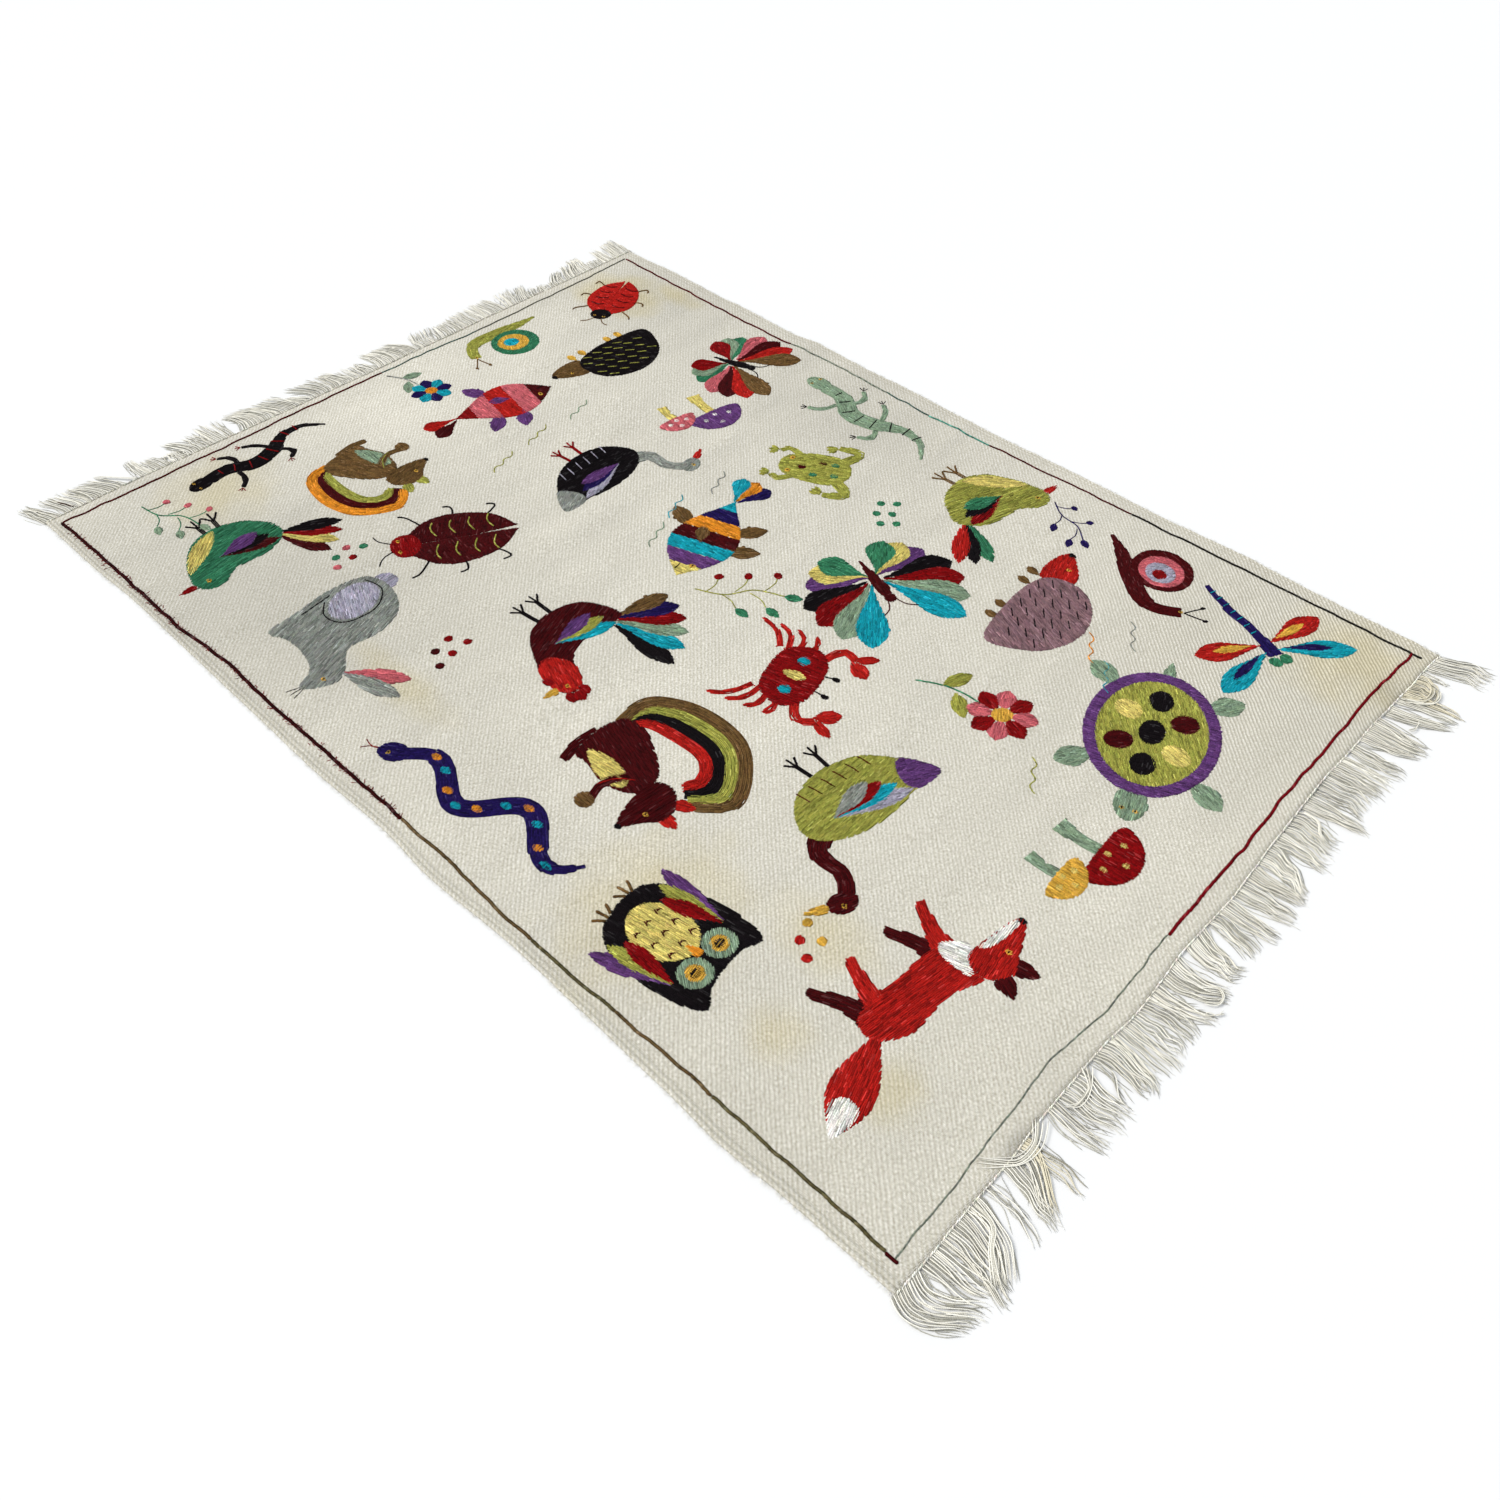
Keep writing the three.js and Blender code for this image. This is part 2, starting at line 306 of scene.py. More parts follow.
# Areas made paler (plus) or darker (minus) by the share given. The two small ones at the near
# edge are painted shade: of a raised fold, and under a stray bundle of fringe.
TONE_AND_SHADE_AREAS = [
    dict(x=-540, y=560, wide=640, long=760, by=-0.15),
    dict(x=-40, y=880, wide=620, long=360, by=0.12),
    dict(x=-250, y=-230, wide=560, long=460, by=0.06),
    dict(x=-60, y=-900, wide=360, long=220, by=0.05),
    dict(x=600, y=180, wide=460, long=620, by=-0.13),
    dict(x=650, y=790, wide=380, long=420, by=-0.14),
    # Painted shade of the raised fold at the near edge.
    dict(x=598, y=-1008, wide=90, long=56, by=-0.22),
    # Painted shadow under the stray bundle of fringe at the near left.
    dict(x=-500, y=-1020, wide=70, long=20, by=-0.3),
    dict(x=-660, y=-450, wide=240, long=260, by=-0.05),
]
# Areas where the weave is worn open, and how strongly; there its grooves and hollows get deeper
# painted shade.
WORN_OPEN = [
    dict(x=600, y=-860, wide=720, long=660, strong=2.3),
    dict(x=-600, y=-700, wide=460, long=420, strong=0.4),
]
STAIN_EDGE = 55 * MM
# How deep a stain is in its middle, how fast it thins outwards, and how ragged it is.
STAIN_DEPTH, STAIN_THINS, STAIN_RAGGED = 1.25, 0.75, 0.35
FADES_OUT = 1.2
MOTTLED = 0.06
MOTTLE_SIZE = (0.16, 0.06)
# The painted shade in the hollows of open weave would darken it as a whole, so its wool is made
# paler there.
WORN_PALER = 0.08
# Painted shade in the grooves between the side cords, column by column from the edge.
GROOVE_SHADE = np.array([0.3, 0.1, 0, 0, 0.05, 0.3, 0.45, 0.2, 0, 0, 0.15, 0.35, 0.15, 0])
top_x, top_y = flat_x.ravel(), flat_y.ravel()


def from_middle(area):
    """How far each point of the top is from the middle of an oval area, whose edge is at 1."""
    across = (top_x - area["x"] * MM) / (area["wide"] * MM / 2)
    along_it = (top_y - area["y"] * MM) / (area["long"] * MM / 2)
    return np.hypot(across, along_it)


def soft_area(area):
    """1 in the middle of an oval area, fading out past its edge."""
    return np.exp(-FADES_OUT * from_middle(area) ** 2)


ragged = np.array(
    [noise.fractal(Vector((x, y, 0)) / STAIN_EDGE, 1.0, 2.0, 3) for x, y in zip(top_x, top_y)]
)
stained = np.zeros(top_x.size)
for stain in STAINS:
    depth = STAIN_DEPTH - STAIN_THINS * from_middle(stain) + STAIN_RAGGED * ragged
    stained = np.maximum(stained, stain["strong"] * np.clip(depth, 0, 1))
worn = sum(area["strong"] * soft_area(area) for area in WORN_OPEN)
mottling = np.array(
    [noise.noise(Vector((x / MOTTLE_SIZE[0], y / MOTTLE_SIZE[1], 5))) for x, y in zip(top_x, top_y)]
)
# Tone of the wool: mottling, paler where open weave gets painted shade, and the listed areas, two
# of them painted shade.
faded = MOTTLED * mottling + WORN_PALER * worn + sum(area["by"] * soft_area(area) for area in TONE_AND_SHADE_AREAS)
# Painted shade in the grooves between the side cords, stored as the cord number.
painted_groove_shade = np.concatenate([GROOVE_SHADE, np.zeros(len(inner)), GROOVE_SHADE[::-1]])
on_top = dict(stain=stained, worn=worn, faded=faded, cord=np.tile(painted_groove_shade, row_count))
for name, values in on_top.items():
    everywhere = np.concatenate([values, np.zeros(top_x.size)]).astype(np.float32)
    cloth.data.attributes.new(name, "FLOAT", "POINT").data.foreach_set("value", everywhere)
print("share of the top that is stained:", round(float((stained > 0.2).mean()), 3))

# %% [markdown]
# ## Materials
# Wool is dull and rough, and scatters a little light along its edges, which Blender calls sheen.
# A small helper makes nodes and links in one call, so that each material reads as a recipe.

# %% A recipe helper


class Recipe:
    """A material made of nodes. Sockets are named, and a tuple of node and socket is a link."""

    def __init__(self, name, roughness, sheen, gloss=0.25):
        self.material = bpy.data.materials.new(name)
        self.material.use_nodes = True
        self.tree = self.material.node_tree
        self.shader = self.tree.nodes["Principled BSDF"]
        self.shader.inputs["Roughness"].default_value = roughness
        self.shader.inputs["Specular IOR Level"].default_value = gloss
        self.shader.inputs["Sheen Weight"].default_value = sheen
        self.shader.inputs["Sheen Roughness"].default_value = 0.5

    def node(self, kind, sockets=(), **settings):
        made = self.tree.nodes.new("ShaderNode" + kind)
        for name, value in settings.items():
            setattr(made, name, value)
        for name, value in dict(sockets).items():
            self.feed(made.inputs[name], value)
        return made

    def feed(self, socket, value):
        if isinstance(value, tuple) and isinstance(value[0], bpy.types.Node):
            self.tree.links.new(value[0].outputs[value[1]], socket)
        else:
            socket.default_value = value

    def math(self, operation, *values, **settings):
        made = self.node("Math", operation=operation, **settings)
        for socket, value in zip(made.inputs, values):
            self.feed(socket, value)
        return made, "Value"

    def blend(self, share, first, second, kind="MIX"):
        made = self.node("Mix", data_type="RGBA", blend_type=kind)
        for place, value in zip((0, 6, 7), (share, first, second)):
            self.feed(made.inputs[place], value)
        return made, 2


def linear(*srgb):
    """A colour as it looks on a screen, 0 to 255, turned into light."""
    share = np.array(srgb) / 255
    light = np.where(share < 0.04045, share / 12.92, ((share + 0.055) / 1.055) ** 2.4)
    return (*map(float, light), 1.0)


# %% [markdown]
# ## The woven wool
# Seen closely the ground has fine slanting lines, 6 mm apart. That is a twill: each weft thread
# goes over two warps and under two, and the next row starts one warp further on. A few sums on the
# place tell which thread is on top, and how round it is there; its low edges are painted darker as
# shade. The wool itself is heathered: fibres of several creams lie side by side. Where the weave
# is worn open, the slanting ribs have parted, and the hollows between them are painted in shade.

# %% The cloth's material
THREAD_PITCH = 2.2 * MM
REPEAT = 4
FLOAT = 2
WOOL_PALE = linear(232, 229, 221)
WOOL_DARK = linear(183, 178, 164)
WOOL_WEFT = linear(236, 234, 226)
# The colour of the painted shade in grooves, hollows and the valleys between the side cords.
WOOL_GROOVE_SHADE = linear(152, 147, 132)
WOOL_STAIN = linear(247, 237, 198)
WOOL_SPECK = linear(96, 88, 74)

wool = Recipe("undyed_wool_weave", roughness=0.93, sheen=0.1)
place = wool.node("TexCoord"), "Object"
bent = place
for scale, by in ((38.0, 5.0 * MM), (260.0, 1.6 * MM)):
    wobble = wool.node("TexNoise", {"Vector": place, "Scale": scale, "Detail": 2.0})
    shift = wool.node("VectorMath", operation="SCALE")
    wool.feed(shift.inputs[0], (wobble, "Color"))
    wool.feed(shift.inputs["Scale"], by)
    moved = wool.node("VectorMath", operation="ADD")
    wool.feed(moved.inputs[0], bent)
    wool.feed(moved.inputs[1], (shift, "Vector"))
    bent = moved, "Vector"
split = wool.node("SeparateXYZ", {"Vector": bent})
warp_count = wool.math("DIVIDE", (split, "X"), THREAD_PITCH)
weft_count = wool.math("DIVIDE", (split, "Y"), THREAD_PITCH)
step = wool.math("SUBTRACT", wool.math("FLOOR", warp_count), wool.math("FLOOR", weft_count))
weft_on_top = wool.math("LESS_THAN", wool.math("FLOORED_MODULO", step, REPEAT), FLOAT - 0.5)
warp_round = wool.math("PINGPONG", warp_count, 0.5)
weft_round = wool.math("PINGPONG", weft_count, 0.5)
difference = wool.math("SUBTRACT", weft_round, warp_round)
round_top = wool.math("MULTIPLY_ADD", difference, weft_on_top, warp_round)
fibres = wool.node("TexNoise", {"Vector": place, "Scale": 300.0, "Detail": 4.0, "Roughness": 0.7})
grain = wool.node("MapRange", {"Value": (fibres, 0), "From Min": 0.36, "From Max": 0.64})
heather = wool.blend((grain, 0), WOOL_DARK, WOOL_PALE)
heather = wool.blend(weft_on_top, heather, wool.blend(1.0, heather, WOOL_WEFT, "MULTIPLY"))
# Painted shade: the low edges of each thread are darkened, more where the weave is worn open.
edges = wool.node("MapRange", {"Value": round_top, "From Max": 0.22, "To Min": 0.55, "To Max": 0.0})
worn_open = wool.node("Attribute", attribute_name="worn")
grooves = wool.math("MULTIPLY_ADD", (worn_open, "Fac"), (edges, 0), (edges, 0))
heather = wool.blend(grooves, heather, WOOL_GROOVE_SHADE)
# Painted shade in the hollows between the slanting ribs, where the weave is worn open.
ribs = wool.math("DIVIDE", wool.math("SUBTRACT", warp_count, weft_count), REPEAT)
rib = wool.math("PINGPONG", ribs, 0.5)
hollow_shade = wool.node("MapRange", {"Value": rib, "From Max": 0.3, "To Min": 0.6, "To Max": 0.0})
open_weave_shade = wool.math("MULTIPLY", (worn_open, "Fac"), (hollow_shade, 0), use_clamp=True)
heather = wool.blend(open_weave_shade, heather, WOOL_GROOVE_SHADE)
specks = wool.node("TexNoise", {"Vector": place, "Scale": 150.0, "Detail": 1.0})
rare = {"From Min": 0.77, "From Max": 0.8, "To Max": 0.5}
dark = wool.node("MapRange", {"Value": (specks, 0), **rare})
heather = wool.blend((dark, 0), heather, WOOL_SPECK)
# Painted shade in the grooves between the cords of the two sides.
cords = wool.node("Attribute", attribute_name="cord")
heather = wool.blend((cords, "Fac"), heather, WOOL_GROOVE_SHADE)
stain = wool.node("Attribute", attribute_name="stain")
heather = wool.blend((stain, "Fac"), heather, WOOL_STAIN, "MULTIPLY")
# Paler or darker tone, with painted shade at a fold and under a stray bundle.
faded = wool.node("Attribute", attribute_name="faded")
paler = wool.math("ADD", (faded, "Fac"), 1.0)
toned = wool.node("HueSaturation", {"Color": heather, "Value": paler})
wool.feed(wool.shader.inputs["Base Color"], (toned, "Color"))
surface = wool.math("MULTIPLY_ADD", (fibres, 0), 0.5, round_top)
bump = wool.node("Bump", {"Strength": 1.0, "Distance": 1.1 * MM, "Height": surface})
wool.feed(wool.shader.inputs["Normal"], (bump, "Normal"))
cloth.data.materials.append(wool.material)

# %% [markdown]
# ## Thread and yarn
# The needlework is in soft two-ply wool. Each stitch carries its own shade as a colour on its
# points, since no two lengths of hand-dyed wool match, and some stitches carry painted shade; fine
# noise breaks that up into fibres. The fringe yarn is a twisted cord. Its twist is a wave that runs
# slantwise over the cord's own length and girth, which are stored as a map on the mesh, and the
# valleys between its plies are painted darker as shade.

# %% Materials of thread and yarn
thread = Recipe("embroidery_wool", roughness=0.9, sheen=0.01, gloss=0.04)
shade = thread.node("Attribute", attribute_name="shade")
place = thread.node("TexCoord"), "Object"
hairs = thread.node("TexNoise", {"Vector": place, "Scale": 520.0, "Detail": 4.0, "Roughness": 0.7})
tones = {"From Min": 0.3, "From Max": 0.7, "To Min": 0.5, "To Max": 1.5}
lightness = thread.node("MapRange", {"Value": (hairs, 0), **tones})
varied = thread.node("HueSaturation", {"Color": (shade, "Color"), "Value": (lightness, 0)})
thread.feed(thread.shader.inputs["Base Color"], (varied, "Color"))
bump = thread.node("Bump", {"Strength": 0.5, "Distance": 0.5 * MM, "Height": (hairs, 0)})
thread.feed(thread.shader.inputs["Normal"], (bump, "Normal"))

TWIST_TURNS = 3.0
yarn = Recipe("twisted_warp", roughness=0.9, sheen=0.08)
shade = yarn.node("Attribute", attribute_name="shade")
place = yarn.node("TexCoord"), "Object"
hairs = yarn.node("TexNoise", {"Vector": place, "Scale": 700.0, "Detail": 3.0})
lightness = yarn.node("MapRange", {"Value": (hairs, 0), "To Min": 0.75, "To Max": 1.2})
varied = yarn.node("HueSaturation", {"Color": (shade, "Color"), "Value": (lightness, 0)})
girth = yarn.node("UVMap", uv_map="cord")
split = yarn.node("SeparateXYZ", {"Vector": (girth, "UV")})
phase = yarn.math("MULTIPLY_ADD", (split, "X"), TWIST_TURNS, (split, "Y"))
ply = yarn.math("PINGPONG", phase, 0.5)
ply_height = yarn.math("MULTIPLY_ADD", (hairs, 0), 0.4, ply)
# Painted shade in the valleys between the plies of the twist.
painted_groove_shade = yarn.node("MapRange", {"Value": ply, "To Min": 0.78, "To Max": 1.06, "From Max": 0.3})
twisted = yarn.node("HueSaturation", {"Color": (varied, "Color"), "Value": (painted_groove_shade, 0)})
yarn.feed(yarn.shader.inputs["Base Color"], (twisted, "Color"))
bump = yarn.node("Bump", {"Strength": 0.6, "Distance": 0.6 * MM, "Height": ply_height})
yarn.feed(yarn.shader.inputs["Normal"], (bump, "Normal"))
print("materials:", [m.name for m in bpy.data.materials])

# %% [markdown]
# ## Spindles
# A stitch, a fringe yarn and a stray hair are all one shape: a thin body that follows a path and
# comes to a point at both ends. So one function makes any number of them at once. It lays a ring of
# points round each step of each path and joins the rings with quads.

# %% Make spindles


def spindles(name, paths, wide, high, sides, shades):
    """paths is (count, steps, 3), and wide and high are half sizes, (count, steps)."""
    count, steps = paths.shape[:2]
    inner_steps = steps - 2
    heading = np.gradient(paths, axis=1)
    heading /= np.linalg.norm(heading, axis=2, keepdims=True) + 1e-12
    sideways = np.stack([heading[..., 1], -heading[..., 0], np.zeros((count, steps))], axis=-1)
    sideways /= np.linalg.norm(sideways, axis=2, keepdims=True) + 1e-12
    upwards = np.cross(sideways, heading)
    turns = np.pi / 2 + 2 * np.pi * np.arange(sides) / sides
    body = slice(1, steps - 1)
    rings = (
        paths[:, body, None]
        + sideways[:, body, None] * (wide[:, body, None, None] * np.cos(turns)[:, None])
        + upwards[:, body, None] * (high[:, body, None, None] * np.sin(turns)[:, None])
    )
    each = inner_steps * sides + 2
    points = np.concatenate(
        [paths[:, :1], rings.reshape(count, -1, 3), paths[:, -1:]], axis=1
    )
    ring = 1 + np.arange(inner_steps * sides).reshape(inner_steps, sides)
    turned = np.roll(ring, -1, axis=1)
    quads = np.stack([ring[:-1], ring[1:], turned[1:], turned[:-1]], axis=-1).reshape(-1, 4)
    first = np.stack([np.zeros(sides, int), ring[0], turned[0]], axis=-1)
    last = np.stack([np.full(sides, each - 1), turned[-1], ring[-1]], axis=-1)
    start = (np.arange(count) * each)[:, None, None]
    faces = [
        (quads[None] + start).reshape(-1, 4),
        (np.concatenate([first, last])[None] + start).reshape(-1, 3),
    ]
    made = new_object(name, points.reshape(-1, 3), faces)
    colours = np.repeat(np.column_stack([shades, np.ones(count)]), each, axis=0)
    stored = made.data.color_attributes.new("shade", "FLOAT_COLOR", "POINT")
    stored.data.foreach_set("color", colours.astype(np.float32).ravel())
    return made


# %% [markdown]
# ## Where the cloth's top is
# Whatever is sewn on has to follow the ripples. A ray cast down on the finished cloth tells how
# high it is at any place, and past its edge the answer is the floor.

# %% Measure the top of the cloth
cloth_tree = BVHTree.FromObject(cloth, bpy.context.evaluated_depsgraph_get())


def top_of(x, y):
    """How high the cloth's top is, or 0 where there is no cloth."""
    hit = cloth_tree.ray_cast(Vector((x, y, 1)), Vector((0, 0, -1)))[0]
    return hit.z if hit else 0.0


tops_of = np.vectorize(top_of)
print("top at the middle, mm:", round(float(top_of(0.0, 0.0)) / MM, 2))

# %% [markdown]
# ## Outlines for the needle
# The shapes are drawn in millimetres from a few plain forms: an oval, a petal that starts at a
# point, and a closed curve that runs softly through a handful of points. A curve through points is
# a Catmull-Rom spline, in which each stretch looks at one neighbour on either side.

# %% Draw outlines


def soft_curve(points, closed, per_span=9):
    """A curve that passes through all the points."""
    points = np.array(points, float)
    if closed:
        around = np.concatenate([points[-1:], points, points[:2]])
    else:
        around = np.concatenate([points[:1], points, points[-1:]])
    t = np.linspace(0, 1, per_span, endpoint=False)[:, None]
    spans = []
    for a, b, c, d in zip(around, around[1:], around[2:], around[3:]):
        cubic = (3 * b - a - 3 * c + d) * t**3 + (2 * a - 5 * b + 4 * c - d) * t**2
        spans.append((cubic + (c - a) * t + 2 * b) / 2)
    if not closed:
        spans.append(points[-1:])
    return np.concatenate(spans)


def blob(*points):
    """A closed shape that runs softly through the points."""
    return soft_curve(points, closed=True)


def oval(x, y, wide, high, turn=0.0, steps=40):
    """An oval by its middle and its full width and height."""
    angle = np.linspace(0, 2 * np.pi, steps, endpoint=False)
    across, up = np.cos(angle) * wide / 2, np.sin(angle) * high / 2
    c, s = math.cos(math.radians(turn)), math.sin(math.radians(turn))
    return np.column_stack([x + across * c - up * s, y + across * s + up * c])


def petal(x, y, long, wide, turn, fullest=0.5, steps=22):
    """A leaf shape from its foot at x, y, in the direction of turn."""
    share = np.linspace(0, 1, steps)
    half = wide / 2 * np.sin(np.pi * share ** (math.log(0.5) / math.log(fullest))) ** 0.8
    c, s = math.cos(math.radians(turn)), math.sin(math.radians(turn))
    up = np.concatenate([half, -half[-2:0:-1]])
    out = np.concatenate([share, share[-2:0:-1]]) * long
    return np.column_stack([x + out * c - up * s, y + out * s + up * c])


# %% [markdown]
# ## Three ways to stitch
# Long-and-short stitch fills an area with rows that all run one way and whose stitches end
# unevenly. Where a shape bends, like a tail, the rows follow its middle line instead. Stem stitch
# draws a line, each stitch starting beside the last. All three only note where each stitch starts
# and ends. Under the rows lie a few broad threads, painted darker as shade, so that no ground shows
# between them, and a share of the stitches is painted darker as the shade between stitches.
# Nobody stitches under a patch that comes later, so a new patch first shortens the stitches in
# its way.

# %% The needlework
PITCH = 2.2
STITCH = 8.2
OVERLAP = 1.4
RAGGED = 0.5
FILL_WIDE = 3.1
FILL_HIGH = 1.4
LAYER = 0.3
STEM_STEP = 5.2
STEM_LONG = 9.0
TUCK = 1.2
BED_EVERY = 2
BED_WIDE = 5.8
BED_HIGH = 0.5
BED_LONG = 20.0
# Bed threads lie under the rows and are painted darker as shade, by this share.
BED_SHADE = -0.16
BED_RISE = 0.5
BED_SHORT = 1.2
BED_LAP = 0.18
UNEVEN_DYE = 0.15
UNEVEN_HUE = 0.03
FLECKS, FLECK_LIGHT = 0.05, 1.5
# Share of stitches darkened as painted shade of the grooves between stitches, and how dark.
GROOVE_SHADED_STITCHES, GROOVE_SHADE_FACTOR = 0.18, 0.6
LIGHT_OF_DYE = 0.72
CUT_SWAY = 0.38
FILL_SWAY = 0.35
STEM_SWAY = 0.25
# A stitch's points along its length, how high it arches there, and how full it is.
STITCH_SHARES = np.array([0.0, 0.14, 0.86, 1.0])
STITCH_ARCH = np.array([-0.4, 0.25, 0.25, -0.4])
STITCH_FULL = (0.58, 0.62)
THREADS = dict(
    red=(138, 10, 14),
    scarlet=(184, 32, 26),
    maroon=(74, 10, 14),
    black=(20, 15, 18),
    olive=(166, 166, 76),
    sage=(140, 163, 136),
    green=(58, 130, 94),
    turquoise=(20, 162, 180),
    purple=(104, 64, 122),
    mauve=(142, 110, 116),
    pink=(206, 104, 112),
    orange=(232, 148, 42),
    mustard=(222, 174, 70),
    straw=(224, 206, 116),
    brown=(114, 86, 50),
    grey=(152, 156, 148),
    navy=(34, 22, 84),
    lilac=(178, 174, 190),
    white=(248, 246, 238),
)


def inside(outline, points):
    """Whether points lie in an outline: from inside, a line to the right leaves it once."""
    x, y = points[..., 0, None], points[..., 1, None]
    a, b = outline, np.roll(outline, -1, axis=0)
    passed = (a[:, 1] > y) != (b[:, 1] > y)
    meets = a[:, 0] + (y - a[:, 1]) / (b[:, 1] - a[:, 1] + 1e-12) * (b[:, 0] - a[:, 0])
    return (passed & (x < meets)).sum(axis=-1) % 2 == 1


def drawn_in(outline, by):
    """The same outline, a little smaller all round."""
    after, before = np.roll(outline, -1, axis=0), np.roll(outline, 1, axis=0)
    ahead = after - before
    ahead = ahead / (np.linalg.norm(ahead, axis=1, keepdims=True) + 1e-9)
    area = (outline[:, 0] * after[:, 1] - after[:, 0] * outline[:, 1]).sum()
    return outline + np.column_stack([-ahead[:, 1], ahead[:, 0]]) * by * np.sign(area)


class Needlework:
    """A set of stitches, in millimetres, drawn with X to the right and Y up."""

    def __init__(self, seed):
        self.chance = np.random.default_rng(seed)
        self.stitches = []

    def stitch(self, start, end, wide, high, layer, colour, streak=0.0):
        """Notes one stitch in its own shade of the thread, some darkened as painted shade of
        grooves.
        """
        light = np.array(linear(*THREADS[colour])[:3]) * LIGHT_OF_DYE
        light = light * (1 + streak + UNEVEN_DYE * self.chance.standard_normal())
        light = light * (1 + UNEVEN_HUE * self.chance.standard_normal(3))
        luck = self.chance.random()
        if luck < FLECKS:
            light = light * FLECK_LIGHT + 0.02
        # Painted shade of the grooves between stitches.
        elif luck > 1 - GROOVE_SHADED_STITCHES:
            light = light * GROOVE_SHADE_FACTOR
        self.stitches.append((*start, *end, wide, high, layer, *np.clip(light, 0, 1)))

    def make_room(self, outline, samples=9):
        """Stops the stitches so far just inside an outline."""
        if not self.stitches:
            return
        noted = np.array(self.stitches)
        shares = np.linspace(0, 1, samples)[:, None]
        spots = noted[:, None, 0:2] + shares * (noted[:, 2:4] - noted[:, 0:2])[:, None]
        covered = inside(drawn_in(outline, TUCK), spots)
        first = np.maximum(covered.argmin(axis=1) - 1, 0)
        last = samples - 1 - np.maximum(covered[:, ::-1].argmin(axis=1) - 1, 0)
        each = np.arange(len(noted))
        noted[:, 0:2], noted[:, 2:4] = spots[each, first], spots[each, last]
        self.stitches = [tuple(row) for row in noted[~covered.all(axis=1)]]

    def cut(self, low, high):
        """Where the stitches of one row begin and end."""
        low = low + RAGGED * self.chance.standard_normal()
        high = high + RAGGED * self.chance.standard_normal()
        count = max(1, round((high - low) / STITCH))
        cuts = np.linspace(low, high, count + 1)
        cuts[1:-1] += STITCH * CUT_SWAY * self.chance.uniform(-1, 1, count - 1)
        starts = cuts[:-1] - OVERLAP * (np.arange(count) > 0)
        ends = cuts[1:] + OVERLAP * (np.arange(count) < count - 1)
        return zip(starts, ends)

    def bed(self, low, high):
        """Where the broad threads that lie under the rows begin and end."""
        count = max(1, round((high - low) / BED_LONG))
        cuts = np.linspace(low, high, count + 1)
        lap = np.full(count - 1, BED_LONG * BED_LAP)
        return zip(cuts[:-1] - np.append(-BED_SHORT, lap), cuts[1:] + np.append(lap, -BED_SHORT))

    def fill(self, outline, colour, flow=0.0, layer=0):
        """Long-and-short stitch over an outline, running in the direction of flow."""
        self.make_room(outline)
        c, s = math.cos(math.radians(flow)), math.sin(math.radians(flow))
        turned = outline @ np.array([[c, -s], [s, c]])
        after = np.roll(turned, -1, axis=0)
        phase = self.chance.uniform(0, 2 * np.pi)
        rows = np.arange(turned[:, 1].min() + PITCH / 2, turned[:, 1].max(), PITCH)
        for number, v in enumerate(rows):
            crossed = (turned[:, 1] > v) != (after[:, 1] > v)
            p, q = turned[crossed], after[crossed]
            reach = np.sort(p[:, 0] + (v - p[:, 1]) / (q[:, 1] - p[:, 1]) * (q[:, 0] - p[:, 0]))
            for low, high in zip(reach[::2], reach[1::2]):
                if high - low < PITCH:
                    continue
                streak = 0.07 * math.sin(v / 4.1 + phase) + 0.05 * math.sin(v / 1.7)
                for a, b in self.cut(low, high):
                    sway = self.chance.normal(0, FILL_SWAY, 2)
                    start = (a * c - (v + sway[0]) * s, a * s + (v + sway[0]) * c)
                    end = (b * c - (v + sway[1]) * s, b * s + (v + sway[1]) * c)
                    self.stitch(start, end, FILL_WIDE, FILL_HIGH, layer, colour, streak)
                if number % BED_EVERY == 1 and high - low > BED_WIDE:
                    for a, b in self.bed(low, high):
                        start, end = (a * c - v * s, a * s + v * c), (b * c - v * s, b * s + v * c)
                        raised = layer + BED_RISE
                        self.stitch(start, end, BED_WIDE, BED_HIGH, raised, colour, BED_SHADE)

    def follow(self, route, widths, colour, layer=0):
        """Rows along a route. widths lists the full width at even shares of its length."""
        line = soft_curve(route, closed=False)
        s = np.concatenate([[0], np.cumsum(np.linalg.norm(np.diff(line, axis=0), axis=1))])
        even = np.arange(0, s[-1], 1.0)
        line = np.column_stack([np.interp(even, s, line[:, 0]), np.interp(even, s, line[:, 1])])
        heading = np.gradient(line, axis=0)
        heading /= np.linalg.norm(heading, axis=1, keepdims=True)
        aside = np.column_stack([-heading[:, 1], heading[:, 0]])
        half = np.interp(even / s[-1], np.linspace(0, 1, len(widths)), widths)[:, None] / 2
        self.make_room(np.concatenate([line + aside * half, (line - aside * half)[::-1]]))
        offsets = np.arange(-half.max() + PITCH / 2, half.max(), PITCH)
        for number, offset in enumerate(offsets):
            within = np.concatenate([[False], half[:, 0] > abs(offset), [False]])
            turns = np.flatnonzero(within[1:] != within[:-1])
            for i, j in zip(turns[::2], turns[1::2]):
                cuts = [(*cut, FILL_WIDE, FILL_HIGH, layer, 0.0) for cut in self.cut(i, j - 1.0)]
                if abs(offset) < half.max() - BED_WIDE / 2 and number % BED_EVERY == 1:
                    broad = BED_WIDE, BED_HIGH, layer + BED_RISE, BED_SHADE
                    cuts += [(*cut, *broad) for cut in self.bed(i, j - 1.0)]
                for a, b, wide, high, level, streak in cuts:
                    a, b = (int(np.clip(k, 0, len(line) - 1)) for k in (a, b))
                    if a != b:
                        start, end = line[a] + aside[a] * offset, line[b] + aside[b] * offset
                        self.stitch(start, end, wide, high, level, colour, streak)

